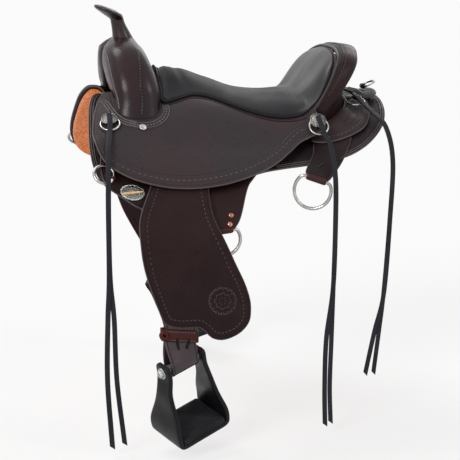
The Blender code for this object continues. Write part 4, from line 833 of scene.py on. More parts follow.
BEHIND_CANTLE = 0.020


def curled(lift):
    """Lift of a layer whose front corner curls up beside the gullet, against the jockey's front lobe."""
    return lambda x, s: (lift + np.interp(np.abs(s), CURL[:, 0], CURL[:, 1]) * ease(x, *CURL_FORWARD)
                         * np.where(s > 0, NEAR_CURL, 1.0))


def skirts(side, hand):
    """Fleece lining, skirt with its seam and edge lines, and the tree bar on them."""
    shape = outline_of(SKIRT, side)
    top = curled(SKIRT_LIFT + SKIRT_THICK)
    near, far = (inward(shape, inset) for inset in LINING_INSET)
    edge = far + (near - far) * ease(shape[:, :1], *LINING_FORWARD)
    panel(f"lining_{hand}_fleece", edge, curled(0.0), curled(LINING_THICK), "lining", ["lining_" + hand],
          cell=0.011, round_edge=0.0045)
    panel(f"skirt_{hand}_leather", shape, curled(SKIRT_LIFT), top, "skirt", ["skirt_" + hand])
    sewn(f"skirt_{hand}_seam", to_side(bend(SKIRT_SEAM), side), top, "dark_thread", SKIRT_STITCH)
    # The raised edge lines are light leather, a painted sheen.
    for k, inset in enumerate(SKIRT_LINES):
        line = inward(outline_of(SKIRT), inset)
        line = line[line[:, 1] > SKIRT_LINE_TOP]
        for word, (start, way) in SKIRT_LINE_PARTS.items():
            part = line[(line[:, 0] - start) * way > 0]
            cord_line(f"skirt_{word}_line_{k}_{hand}", to_side(part, side), top, SKIRT_LINE, "edging", 0.010)
    panel(f"tree_bar_{hand}_wood", outline_of(BAR, side), curled(PLATE_LIFT + BAR_CLEAR), curled(BAR_TOP),
          "wood", ["tree_bar_" + hand], cell=0.012, round_edge=0.0030)


def back_top(x, s):
    """Top of the back jockey."""
    return jockey_lift(x, s) + BACK_JOCKEY_THICK


def back_jockey():
    """Back jockey with a sewn border and a lighter edge, which is a painted highlight."""
    behind = [(rim_front(s) + BEHIND_CANTLE + EASE * 3, s) for s in RIM_STEPS]
    shape = whole(np.vstack([behind, bend(BACK_JOCKEY)]))
    panel("back_jockey_leather", shape, jockey_lift, back_top, "jockey", ["back_jockey"], cell=0.008)
    seam = bend(BACK_SEAM)
    sewn("back_jockey_seam", np.vstack([seam, (seam * (1, -1))[::-1][1:]]), back_top, "thread", BACK_STITCH)


PAD_HALF = bend([(-0.160, 0.0), (-0.161, 0.060), (-0.160, 0.103), (-0.128, 0.097), (-0.096, 0.084),
                 (-0.064, 0.086), (-0.030, 0.104), (0.010, 0.124), (0.050, 0.138), (0.090, 0.142),
                 (0.124, 0.134), (0.156, 0.115), (0.182, 0.088), (0.197, 0.050), (0.202, 0.0)])
PAD_WIDE = np.array(sorted(tuple(p) for p in PAD_HALF if p[1] > 0.08 and -0.15 < p[0] < 0.13))
PAD_X, PAD_S = np.append(PAD_WIDE[:, 0], 0.19), np.append(PAD_WIDE[:, 1], 0.13)
PAD_EDGE = 0.0045
PAD_RISE = 0.0095
FOLD_RISE = 0.0022
CREASE_DROP = 0.0016
WAVE_RISE = 0.0006
LIP_RISE = 0.012


def pad_crown(x, s):
    """Top of the padded seat: low at its sewn edge, full in the middle, with a few soft folds."""
    s = np.asarray(s, float)
    wide = np.abs(s)
    span = np.interp(x, PAD_X, PAD_S)
    ends = ease(x, -0.165, 0.040) * ease(x, 0.215, -0.060)
    full = 1 - ease(wide, 0, np.maximum(span, 0.05))
    fold = bell(x + 0.139 + 0.10 * wide, 0.0055) * ease(wide, 0.10, -0.05)
    crease = bell(x + 0.118 - 0.16 * wide, 0.007) * ease(wide, 0.08, -0.04)
    waves = WAVE_RISE * np.sin(s * 95 + x * 40) * np.sin(x * 70 + 1.3) * full
    rim_x, rim_lift, half = rim_at(wide)
    short = rim_x - half - x
    swollen = PAD_BULGE * bell(short - 0.030, 0.026) * ease(short, 0, 0.020) * (1 - ease(wide, 0.085, 0.045))
    lip = LIP_RISE * bell(x + 0.1605, 0.0050) * (1 - ease(wide, 0.012, 0.050))
    return (seat_lift(x, s) + GAP + PAD_EDGE + PAD_RISE * np.sqrt(np.clip(full, 0, 1)) * ends + swollen
            + FOLD_RISE * fold - CREASE_DROP * crease + waves + lip)


def foot_ring(turns, grow=0.0, stretch=1.0):
    """Places in x and s round the swell's foot, a little further out or in."""
    x = FORK_X + (FOOT_HALF_X + grow) * np.cos(turns) * stretch
    return x, FOOT_S + (FOOT_HALF_S + grow) * np.sin(turns)


SEAT_LOW = [(0.149, 0.146), (0.155, 0.158), (0.148, 0.172), (0.119, 0.183), (0.096, 0.192), (0.074, 0.209),
            (0.047, 0.229), (0.013, 0.247), (-0.035, 0.264), (-0.082, 0.276), (-0.130, 0.283),
            (-0.180, 0.284), (-0.230, 0.277), (-0.268, 0.264), (-0.293, 0.246), (-0.305, 0.215),
            (-0.307, 0.175), (-0.300, 0.130), (-0.287, 0.085), (-0.272, 0.050)]


def seat_edge():
    """Near half of the seat leather's edge, from the rear middle round to the front middle."""
    rear = [(rim_front(s) - EASE, s) for s in RIM_STEPS + (RIM_END,)]
    notch = np.transpose(foot_ring(np.linspace(math.pi, 0, 17), -0.002))
    front = [(SEAT_FRONT, 0.085), (SEAT_FRONT, 0.040), (SEAT_FRONT, 0)]
    return np.vstack([rear, bend(SEAT_LOW), [(FORK_X - FOOT_HALF_X + 0.002, 0.056)], notch, front])


LOBE_LINE = [(-0.2740, 0.0800), (-0.2655, 0.0930), (-0.2610, 0.1130), (-0.2540, 0.1315), (-0.2440, 0.1435),
             (-0.2330, 0.1485), (-0.2200, 0.1500)]
JOCKEY_BAND = [(-0.296, 0.225), (-0.282, 0.240), (-0.262, 0.252), (-0.228, 0.262), (-0.180, 0.268),
               (-0.132, 0.267), (-0.086, 0.260), (-0.040, 0.249), (0.006, 0.232), (0.038, 0.215),
               (0.064, 0.196), (0.088, 0.177), (0.110, 0.167)]
SEAT_LINE = [(-0.160, 0.112), (-0.128, 0.104), (-0.100, 0.093), (-0.064, 0.094), (-0.030, 0.111),
             (0.010, 0.131), (0.050, 0.145), (0.090, 0.150), (0.120, 0.146)]
FOOT_LINES = (0.0085, 0.0135, 0.0185)
FOOT_SWEEP = (math.radians(112), math.radians(-12))
BEAD_RADIUS = 0.0025
BEAD_PITCH = 0.0066
LOBE_PITCH = 0.0056


def seat_tooling(side, hand):
    """Stitches and raised lines of one jockey, with beads between the two lines round the swell's foot; those
    lines, the beads and the lobe lines are light as a painted sheen.
    """
    sewn(f"jockey_stitching_{hand}", to_side(bend(JOCKEY_BAND), side), seat_lift, "thread", JOCKEY_STITCH)
    cord_line(f"seat_border_line_{hand}", to_side(SEAT_LINE, side), seat_lift, FINE_LINE, "plain")
    turns = np.linspace(*FOOT_SWEEP, 30)
    for k, grow in enumerate(FOOT_LINES):
        arc = to_side(np.transpose(foot_ring(turns, grow, 1.02)), side)
        if k == 1:
            beads = laid(spaced(arc, BEAD_PITCH), seat_lift)
            row(f"swell_foot_beads_{hand}", *beads, bead(BEAD_RADIUS), "edging")
        else:
            cord_line(f"swell_foot_line_{k}_{hand}", arc, seat_lift, FINE_LINE, "edging")
        line = bend(LOBE_LINE, 0.004)
        run = unit(np.gradient(line, axis=0))
        line = line + np.stack([-run[:, 1], run[:, 0]], 1) * LOBE_PITCH * k
        cord_line(f"lobe_line_{k}_{hand}", to_side(line, side), seat_lift, LOBE_LINE_RADIUS, "edging")


def seat():
    """Seat leather with both jockeys and their tooling, the padded seat and its welts."""
    panel("seat_jockey_leather", whole(seat_edge()), lambda x, s: seat_lift(x, s) - SEAT_THICK, seat_lift,
          "jockey", ["seat_leather"], cell=0.0075)
    for side, hand in SIDES:
        seat_tooling(side, hand)
    edge = whole(PAD_HALF)
    pad = panel("seat_cushion", edge, lambda x, s: seat_lift(x, s) + GAP * 2, pad_crown, "seat", ["seat_pad"],
                cell=0.0055, round_edge=0.0030)
    across = np.linspace(-0.099, 0.099, 45)
    points, outs = on(-0.1525 - 0.035 * np.abs(across), across, pad_crown)
    tube("seat_front_welt", points + outs * 0.0002, FRONT_WELT, "seat", sides=8)
    points, outs = on(*edge.T, lambda x, s: seat_lift(x, s) + 0.0020)
    tube("seat_welt", points, SEAT_WELT, "seat", closed=True, sides=8)


ARCH_SIDES = 64
ARCH_ROWS = 9
ARCH_POWER = 2.6


def arch_section(t, turns):
    """Ring of the swell at a share of the way down its near side."""
    y, z, x, half, thick, angle = [float(v) for v in arch_at(t)]
    angle = math.radians(angle)
    out = np.array([0, -math.cos(angle), math.sin(angle)])
    c, d = np.cos(turns), np.sin(turns)
    square = (np.abs(c)**ARCH_POWER + np.abs(d)**ARCH_POWER)**(-1 / ARCH_POWER)
    return np.array([x, -y, z]) + np.outer(half * c * square, (1, 0, 0)) + np.outer(thick * d * square, out)


def arch_shape():
    """Rings of the swell from its near foot over the top to the far foot."""
    turns = circle(ARCH_SIDES)
    x, s = foot_ring(turns)
    near = [place(x, s, seat_lift(x, s) + EASE - SETTLE)]
    near += [arch_section(ARCH[-1][0] * (1 - k / ARCH_ROWS), turns) for k in range(ARCH_ROWS)]
    far = [ring * (1, -1, 1) for ring in reversed(near)]
    return np.array(near + [arch_section(0, turns)] + far)


def swell_rings():
    """Close rings of the swell, smooth from foot to foot."""
    coarse = arch_shape()
    fine = [bend(coarse[:, k], 0.008) for k in range(ARCH_SIDES)]
    count = max(len(line) for line in fine)
    rings = np.empty((count, ARCH_SIDES, 3))
    for k, line in enumerate(fine):
        for c in range(3):
            rings[:, k, c] = np.interp(np.linspace(0, 1, count), np.linspace(0, 1, len(line)), line[:, c])
    return rings


def on_swell(rings, at, column):
    """Point on the swell between two rings and between two of their columns, and the way out there."""
    i, k = int(at), int(column)
    after = rings[min(i + 1, len(rings) - 1)]
    here, other = ((1 - at % 1) * rings[i, c] + at % 1 * after[c] for c in (k, k + 1))
    here = here + (other - here) * (column % 1)
    return np.concatenate([here, unit(here - rings[i].mean(0))])


# Seams down the swell: name, shares of the way over where it starts and ends, its columns at both ends
SWELL_SEAMS = (("front", 0.02, 0.43, 26.5, 26.0), ("rear", 0.015, 0.31, 15.0, 11.5))
SEAM_DRIFT = (0.10, 0.24)


def swell():
    """Swell cover with a welt down its front, light as a painted sheen, and a seam with stitches down its
    rear, on each side; a sunk black tube paints the shade of the seam's groove.
    """
    rings = swell_rings()
    loft("swell_cover_leather", rings, "swell", ["swell_cover"])
    for side, hand in SIDES:
        for word, low, high, first, last in SWELL_SEAMS:
            shares = np.linspace(low, high, 60)
            columns = first + (last - first) * ease(shares, *SEAM_DRIFT)
            ats = (shares if side > 0 else 1 - shares) * (len(rings) - 1)
            line = np.array([on_swell(rings, at, column) for at, column in zip(ats, columns)])
            if word == "front":
                tube(f"swell_welt_{hand}", line[:, :3], SWELL_WELT, "edging", sides=8)
                continue
            # A black tube sunk along the seam is painted shade of its groove.
            tube(f"swell_seam_shade_{hand}", line[:, :3] - line[:, 3:] * 0.0006, SWELL_SEAM_SHADE, "black", sides=6,
                 slot="leather")
            spots = spaced(line, 0.0064)
            row(f"swell_stitches_{hand}", spots[:, :3] + spots[:, 3:] * 0.0016, spots[:, 3:],
                spindle(*SWELL_THREAD), "low_thread")


def horn():
    """Leaning neck that runs into a tilted cap, all drawn over with smooth leather."""
    turns = circle(56)
    rings = []
    for front_x, front_z, rear_x, rear_z, wide in bend(HORN, 0.0022):
        middle = np.array([front_x + rear_x, 0, front_z + rear_z]) / 2
        long = np.array([front_x - rear_x, 0, front_z - rear_z]) / 2
        rings.append(middle + np.outer(np.cos(turns), long) + np.outer(np.sin(turns), (0, wide, 0)))
    loft("horn_leather_cap", rings, "horn", ["horn"])


def roll_point(s, turn, squeeze=1.0):
    """Point of the cantle roll at s, by its turn round the section from the rear over the top."""
    x, lift, width = rim_at(abs(s))
    height = ROLL_HALF_THICK * squeeze * np.sin(turn) - ROLL_LEAN * np.cos(turn)
    return place(x + width * np.cos(turn), s, lift + height)


ROLL_STATIONS = np.linspace(-RIM_END, RIM_END, 70)
ROLL_NARROWS = (0.126, 0.014)
PIPING_TURN = 2.75
SEAM_TURN = 1.95
STITCH_TURN = 1.70
WALL_THICK = 0.020
WALL_ROWS = 5


def cantle():
    """Cantle roll with its piping, its seam and a row of stitches."""
    rings, piping, seam = [], [], []
    for s in ROLL_STATIONS:
        squeeze = 1 - 0.35 * ease(abs(s), *ROLL_NARROWS)
        for line, turn in ((rings, circle(36)), (piping, PIPING_TURN), (seam, SEAM_TURN)):
            line.append(roll_point(s, turn, squeeze))
    loft("cantle_roll_leather", rings, "plain", ["cantle_roll"])
    tube("cantle_piping", piping, CANTLE_PIPING, "seat", slot="leather")
    tube("cantle_seam", seam, CANTLE_SEAM, "plain")
    line = np.array([roll_point(s, STITCH_TURN) for s in ROLL_STATIONS[3:-3]])
    spots = spaced(np.hstack([line, unit(line - np.array(rings).mean(1)[3:-3])]), 0.0076)
    row("cantle_stitches", spots[:, :3], spots[:, 3:], spindle(*CANTLE_THREAD), "low_thread")


def cantle_wall():
    """Leather on the wall behind the roll, slightly hollow."""
    wall = []
    for s in ROLL_STATIONS:
        x, lift, width = rim_at(abs(s))
        front = x - width + EASE * 2
        back = front + WALL_THICK * (0.55 + 0.45 * width / RIM[0][3])
        top = lift - ROLL_HALF_THICK - ROLL_LEAN / 2 - EASE
        low = BAR_TOP + GAP
        share = np.arange(WALL_ROWS + 1) / WALL_ROWS
        behind = place(back + 0.004 * share - 0.0028 * np.sin(math.pi * share), s, low + (top - low) * share)
        wall.append(np.vstack([place(front, s, low + 0.001), behind, place(front, s, top)]))
    loft("cantle_back_leather", wall, "plain", ["tree_cantle"])


DEE_WIRE = 0.0034
BREAST_WIRE = 0.0030
CRUPPER_WIRE = 0.0022
SLEEVE = 0.0031
PIN_RADIUS = 0.0080
PIN_HEAD = 0.0120
PIN_HEAD_THICK = 0.0014
LEATHER_WIDTH = 0.060
LEATHER_TOP = 0.196
LEATHER_LEAN = 0.022
PIVOT_X = -0.145
HOBBLE_S = 0.553
HOBBLE_WIDTH = 0.024
BOLT_DROP = 0.042
ROLLER_RADIUS = 0.0100
BOLT_RADIUS = 0.0040
NECK_WIDTH = 0.072
TREAD_LENGTH = 0.122
TREAD_DEPTH = 0.096
ARM_DEPTH = 0.040
ARM_THICK = 0.0095
STIRRUP_HEIGHT = 0.150
PAD_HEIGHT = 0.009
FAR_SWING = math.radians(14)
FAR_TUCK = math.radians(30)
CONCHO_RADIUS = 0.0170
CONCHO_THICK = 0.0022
CONCHO_DOME = 0.0026
CONCHO_POST = 0.0040
CONCHO_RING_RADIUS = 0.0185
CONCHO_RING_WIRE = 0.0018
STRING_WIDTH = 0.010
STRING_THICK = 0.0036
RIVETS = ((-0.059, 0.322), (-0.063, 0.339))
RIVET = [(0.0052, -0.0004), (0.0052, 0.0022 * 0.25), (0.0052 * 0.90, 0.0022 * 0.55),
         (0.0052 * 0.68, 0.0022 * 0.82), (0.0052 * 0.36, 0.0022)]
STRAP_SLOTS = ((0.133, 0.232), (0.178, 0.222))
SEAT_SCREW = (-0.209, 0.162)
SCREW_CUP = [(0.0075, -0.0002), (0.0075, 0.0012), (0.0068, 0.0024), (0.0050, 0.0030), (0.0038, 0.0022),
             (0.0016, 0.0020)]


def dee_loop(start, end, drop, radius):
    """Smooth closed line of a dee: straight bar, round bow and eased corners."""
    middle, half = (start + end) / 2, (end - start) / 2
    along = unit(half)
    drop = unit(drop - along * (drop @ along))
    reach = np.linalg.norm(half)
    to_centre = math.sqrt(radius**2 - reach**2)
    centre = middle + drop * to_centre
    first = math.acos(to_centre / radius)
    path = [middle + along * reach * k for k in np.linspace(-0.84, 0.84, 15)]
    for turn in np.linspace(first, 2 * math.pi - first, 64):
        path.append(centre - drop * radius * math.cos(turn) + along * radius * math.sin(turn))
    path = np.array(path)
    for _ in range(3):
        path = 0.25 * np.roll(path, 1, 0) + 0.5 * path + 0.25 * np.roll(path, -1, 0)
    return path


def dee(name, start, end, drop, radius, wire, hide):
    """Dee on its own body, and the leather sleeve round its bar on the saddle."""
    path = dee_loop(start, end, np.array(drop, float), radius)
    tube(name + "_wire", path, wire, "silver", [name], closed=True, sides=16, body=name)
    along = unit(end - start)
    middle = (start + end) / 2
    long = np.linalg.norm(end - start) / 2 - wire * 2.2
    shares = np.linspace(-1, 1, 13)
    thick = wire + SLEEVE - 0.0012 * ease(np.abs(shares), 0.82, 0.18)
    tube(name + "_sleeve", [middle + along * long * k for k in shares], thick, hide, sides=20)


def rigging_dee(name, spec, side, lift, wire, hangs):
    """Dee of the rigging that hangs straight down, or lies along the leather."""
    (x, s), (end_x, end_s), radius = spec
    start, end = place(x, side * s, lift), place(end_x, side * end_s, lift)
    point, out = spot((x + end_x) / 2, side * (s + end_s) / 2, level(lift))
    drop = (0, 0, -1.0) if hangs else -side * np.cross(out, unit(end - start))
    dee(name, start, end, drop, radius, wire, "fold")


def swing_pin(hand):
    """Pin that carries the fender, with a low head."""
    pivot, axis = joint("fender_" + hand)
    neck = FENDER_THICK + EASE
    foot = FENDER_LIFT - PLATE_LIFT - PLATE_THICK / 2
    profile = [(PIN_RADIUS * 0.99, -foot), (PIN_RADIUS * 0.99, neck), (PIN_HEAD, neck),
               (PIN_HEAD, neck + PIN_HEAD_THICK * 0.6), (PIN_HEAD * 0.9, neck + PIN_HEAD_THICK)]
    turned(f"swing_pin_{hand}", pivot, axis, profile, "steel")


def rigging(side, hand):
    """Rigging plate with dees, rivets and swing pin, rear strap with its dee, oval plate and seat screw."""
    plate_top = PLATE_LIFT + PLATE_THICK
    panel(f"rigging_plate_{hand}_leather", outline_of(PLATE, side), level(PLATE_LIFT), level(plate_top),
          "plate", ["rigging_plate_" + hand])
    rigging_dee("cinch_ring_" + hand, CINCH_DEE, side, PLATE_LIFT - 0.0020, DEE_WIRE, True)
    rigging_dee("breast_ring_" + hand, BREAST_DEE, side, plate_top + EASE + BREAST_WIRE, BREAST_WIRE, False)
    for k, (x, s) in enumerate(RIVETS):
        turned(f"rigging_rivet_{k}_{hand}", *spot(x, side * s, level(plate_top)), RIVET, "copper", sides=24)
    swing_pin(hand)
    strap_top = level(plate_top - GAP)
    panel(f"rear_strap_{hand}_leather", outline_of(REAR_STRAP, side), level(PLATE_LIFT), strap_top, "strap",
          ["rear_rigging_strap_" + hand])
    for k, (x, s) in enumerate(STRAP_SLOTS):
        ends = [(x - 0.006, s + 0.0035), (x + 0.006, s - 0.0035)]
        cord_line(f"rear_strap_slot_{k}_{hand}", to_side(ends, side), strap_top, SLOT_LINE, "dark_thread")
    rigging_dee("rear_dee_" + hand, REAR_DEE, side, PLATE_LIFT + PLATE_THICK / 2, DEE_WIRE, True)
    oval(side, hand)
    point, out = spot(SEAT_SCREW[0], side * SEAT_SCREW[1], seat_lift)
    turned(f"seat_screw_{hand}_cup", point, out, SCREW_CUP, "silver", ["seat_screw_" + hand], 28)


OVAL_PLATE = (-0.243, 0.291)
OVAL_HALF = (0.0245, 0.0155)
OVAL_TILT = 0.10
OVAL_THICK = 0.0024
OVAL_BAND = ((-0.70, 0.16), (0.70, -0.34), (0.72, -0.10), (-0.70, 0.42))
ROPE_LEAN = ((0.82, 0.57, 0), (-0.57, 0.82, 0), (0, 0, 1))


def oval(side, hand):
    """Plain oval plate with a roped border and a gold band across it."""
    low = PLATE_LIFT + PLATE_THICK + GAP
    top = low + OVAL_THICK
    (x, s), (long, high) = OVAL_PLATE, OVAL_HALF

    def ring(share):
        c, d = np.cos(circle(72)) * share, np.sin(circle(72)) * share
        across = x + long * c * 0.98 + high * d * OVAL_TILT
        return np.stack([across, side * (s + high * d - long * c * OVAL_TILT)], 1)

    panel(f"oval_plate_{hand}_face", ring(1.0), level(low), level(top), "engraved", ["oval_plate_" + hand],
          cell=0.004, round_edge=0.0008)
    line = ring(0.90)
    line = spaced(np.vstack([line, line[:1]]), 0.0026)
    verts, faces = spindle(0.0036, 0.0011)
    row(f"oval_plate_{hand}_rope", *on(*line.T, level(top)), (verts @ np.array(ROPE_LEAN), faces), "silver")
    band = [(x + long * a, side * (s + high * b)) for a, b in OVAL_BAND]
    panel(f"oval_plate_{hand}_band", bend(band, 0.002, True), level(top - 0.0003), level(top + 0.0007),
          "gold", cell=0.006, round_edge=0.0004)


CRUPPER_HALF = [(0.252, 0.0), (0.253, 0.030), (0.262, 0.050), (0.284, 0.056), (0.300, 0.046), (0.306, 0.024),
                (0.307, 0)]
CRUPPER_LINE = [(0.004, -0.042), (0, -0.020), (0, 0.020), (0.004, 0.042)]
CRUPPER_TILT = math.radians(23)


def crupper():
    """Band over the back jockey and the dee that stands on it."""
    under = lambda x, s: back_top(x, s) + GAP
    over = lambda x, s: under(x, s) + BACK_JOCKEY_THICK
    panel("crupper_strap_leather", whole(bend(CRUPPER_HALF)), under, over, "skirt", ["crupper_strap"],
          cell=0.007)
    middle = joint("crupper_dee")[0]
    bar = np.array([0, 0.013, 0])
    way = (math.cos(CRUPPER_TILT), 0, math.sin(CRUPPER_TILT))
    dee("crupper_dee", middle - bar, middle + bar, way, 0.0165, CRUPPER_WIRE, "plain")
    # The two raised lines are light leather, a painted sheen.
    for k, x in enumerate((0.2585, 0.2640)):
        cord_line(f"crupper_line_{k}", np.array(CRUPPER_LINE) + (x, 0), over, FINE_LINE, "edging")


def hub_of(word, side, hand):
    """Hub of a concho's ring, the way out of the leather, and the way down along it."""
    hub, out = joint(f"{word}_concho_{hand}_ring")
    slope = slope_at(CONCHOS[word][1])
    down = np.array([0, -side * math.cos(slope), -math.sin(slope)])
    return hub, out, unit(down - out * (down @ out))


SCALLOPS = 16
SCALLOP_FADE = (0.0125, 0.004)
CONCHO_FACE = [(0.93, 0.8), (0.84, 1.0), (0.79, 0.60), (0.74, 1.0), (0.52, 1.5)]


def concho(word, side, hand):
    """Scalloped, engraved concho with a raised middle, and its ring."""
    hub, out, down = hub_of(word, side, hand)
    name = f"{word}_concho_{hand}"
    low = CONCHO_RING_WIRE + GAP
    top = low + CONCHO_THICK

    def scallop(turns, radius):
        return 1 + 0.030 * ease(radius, *SCALLOP_FADE) * np.cos(turns * SCALLOPS)

    profile = [(CONCHO_POST, -0.0022), (CONCHO_POST, low), (CONCHO_RADIUS * 0.955, low),
               (CONCHO_RADIUS * 0.965, low + 0.0007)]
    profile += [(CONCHO_RADIUS * share, low + CONCHO_THICK * height) for share, height in CONCHO_FACE]
    profile += [(CONCHO_RADIUS * 0.30, top + CONCHO_DOME * 0.92), (CONCHO_RADIUS * 0.10, top + CONCHO_DOME)]
    turned(name + "_face", hub, out, profile, "engraved", [name], 96, scallop)
    middle = hub + down * (CONCHO_RING_RADIUS - CONCHO_RING_WIRE - CONCHO_POST - GAP)
    turns = circle(56)
    ring = np.outer(np.cos(turns), np.cross(out, down)) + np.outer(np.sin(turns), down)
    ring = middle + CONCHO_RING_RADIUS * ring
    tube(name + "_ring_wire", ring, CONCHO_RING_WIRE, "silver", [name + "_ring"], True, body=name + "_ring")


# Stamped rosette: radius of each ring, how many marks it has, and the mark
STAMP_RINGS = ((0.0260, 30, bead(0.0019, 0.40)), (0.0215, 14, crescent(0.0042, 0.0008)),
               (0.0120, 8, crescent(0.0040, 0.0008)), (0.0062, 7, bead(0.0014)))
FENDER_BORDER = 0.0145
BORDER_START = 0.262


def fender(side, hand):
    """Fender with a sewn border and a stamped rosette, and the stirrup leather with its hobble strap."""
    body = "fender_" + hand
    shape = outline_of(FENDER, side)
    top = flared(FENDER_LIFT + FENDER_THICK)
    panel(f"fender_{hand}_leather", shape, flared(FENDER_LIFT), top, "fender", [body], body=body)
    line = inward(shape, FENDER_BORDER)
    keep = [i for i in range(len(line)) if abs(line[i, 1]) > BORDER_START]
    first = max(range(len(keep)), key=lambda k: (keep[k] - keep[k - 1]) % len(line))
    line = apart(line[np.roll(keep, -first)])
    sewn(f"fender_stitching_{hand}", line, top, "low_thread", FENDER_STITCH, body=body)
    for k, (radius, marks, mark) in enumerate(STAMP_RINGS):
        ring = radius * np.stack([np.cos(circle(marks)), np.sin(circle(marks))], 1)
        row(f"fender_stamp_{k}_{hand}", *laid(to_side(STAMP + ring, side), top), mark, "stamp", body=body)
    stirrup_leather(side, hand, body)
    hobble(side, hand, body)


def apart(line, least=0.002):
    """Line without the points that lie close to the one before."""
    kept = [line[0]]
    for point in line[1:]:
        if np.linalg.norm(point - kept[-1]) > least:
            kept.append(point)
    return np.array(kept)


STIRRUP_UP = (-0.171, -0.285, 0.943)
BOLT_WAY = (0.877, 0.394, 0.277)


def stirrup_frame(side):
    """Bolt centre and the stirrup's axes before the far one is swung: along the bolt, the foot, and up."""
    up = unit(np.array(STIRRUP_UP) * (1, side, 1))
    along = np.array(BOLT_WAY) * (1, side, 1)
    along = unit(along - up * (along @ up))
    foot = np.cross(up, along) * side
    centre = place(PIVOT_X - LEATHER_LEAN + 0.004, side * HOBBLE_S, STRAP_LIFT + FLARE)
    return centre + np.array([0, 0.003 * side, -BOLT_DROP]), along, foot, up


def strap_way(side):
    """Middle, width and way out along the stirrup leather: down, round the roller and up again."""
    centre, along, foot, up = stirrup_frame(side)
    slope = slope_at(HOBBLE_S)
    outward = -foot if foot @ np.array([0, -side * math.sin(slope), math.cos(slope)]) < 0 else foot
    half = STRAP_THICK / 2
    radius = ROLLER_RADIUS + EASE + half
    rows = []

    def lying(x, s, lift, facing=1):
        left, right = (place(x + d * LEATHER_WIDTH / 2, side * s, flared(lift)(x, s)) for d in (-1, 1))
        outer = place(x, side * s, flared(lift)(x, s) + 0.01)
        middle = (left + right) / 2
        rows.append(np.concatenate([middle, unit(right - left), facing * unit(outer - middle)]))

    for s in np.linspace(LEATHER_TOP, HOBBLE_S - 0.004, 30):
        lying(PIVOT_X - LEATHER_LEAN * (s - LEATHER_TOP) / (HOBBLE_S - LEATHER_TOP), s, STRAP_LIFT + half)
    bow = [(outward * math.cos(turn) - up * math.sin(turn), 0) for turn in np.linspace(0, math.pi, 15)]
    for way, rise in [(outward, radius)] + bow + [(-outward, radius)]:
        rows.append(np.concatenate([centre + way * radius + up * rise, along, way]))
    for short in (0.002, 0.016, 0.030):
        lying(PIVOT_X - LEATHER_LEAN, HOBBLE_S - short, STRAP_LIFT - GAP * 2 - half, -1)
    dense = bend(rows, 0.010)
    wides, ways = unit(dense[:, 3:6]), unit(dense[:, 6:9])
    return dense[:, :3], wides, unit(ways - wides * (ways * wides).sum(1, keepdims=True))


# Sections in shares of the half width and half thickness
STRAP_SECTION = [(-1, -0.35), (-0.985, -0.85), (-0.95, -1), (0.95, -1), (0.985, -0.85), (1, -0.35), (1, 0.35),
                 (0.985, 0.85), (0.95, 1), (0.5, 1.08), (0, 1.12), (-0.5, 1.08), (-0.95, 1), (-0.985, 0.85),
                 (-1, 0.35)]
LACE_SECTION = [(-1, 0), (-0.93, -0.8), (-0.75, -1), (0, -1), (0.75, -1), (0.93, -0.8), (1, 0), (0.93, 0.8),
                (0.70, 1), (0.30, 0.84), (0, 0.78), (-0.30, 0.84), (-0.70, 1), (-0.93, 0.8)]


def stirrup_leather(side, hand, body):
    """Wide strap down behind the fender, round the roller and up again, creased and sewn at its edges."""
    middles, wides, ways = strap_way(side)

    def along_strap(across, out):
        return middles + wides * LEATHER_WIDTH / 2 * across + ways * STRAP_THICK / 2 * out

    rings = np.stack([along_strap(across, out) for across, out in STRAP_SECTION], 1)
    loft(f"stirrup_strap_{hand}", rings, "wrap", ["stirrup_leather_" + hand], body=body)
    for k, across in enumerate((-0.86, 0.86)):
        line = along_strap(across, 1.02)
        tube(f"stirrup_strap_crease_{k}_{hand}", line - ways * 0.0003, STRAP_CREASE, "black", sides=6,
             body=body, slot="leather")
        spots = spaced(np.hstack([line, ways])[len(line) * 3 // 5:], 0.0075)
        row(f"stirrup_strap_stitches_{k}_{hand}", spots[:, :3], unit(spots[:, 3:]), spindle(*STRAP_THREAD),
            "dark_thread", body=body)


# Hobble strap: its wall, its section as shares of half its width and of the wall, and the lace's knot
# and tails from its front edge
HOBBLE_WALL = 0.0030
HOBBLE_SECTION = [(-1.0, 0.35), (-0.96, 0.8), (-0.86, 1.0), (0.86, 1.0), (0.96, 0.8), (1.0, 0.35), (1.0, 0.0),
                  (-1.0, 0.0)]
HOBBLE_KNOT = [(0.012, -0.005, 0.0025), (0.003, -0.0065, 0.0030), (-0.0015, -0.001, 0.0005),
               (0.001, 0.006, 0.0035), (0.009, 0.004, 0.0052), (0.010, -0.004, 0.0055),
               (0.002, -0.006, 0.0050), (0.001, 0.002, 0.0058), (0.012, 0.007, 0.0032)]
HOBBLE_TAILS = ((0.030, 0.022, 0.002), (0.052, 0.017, -0.002))
HOBBLE_POWER = 0.28


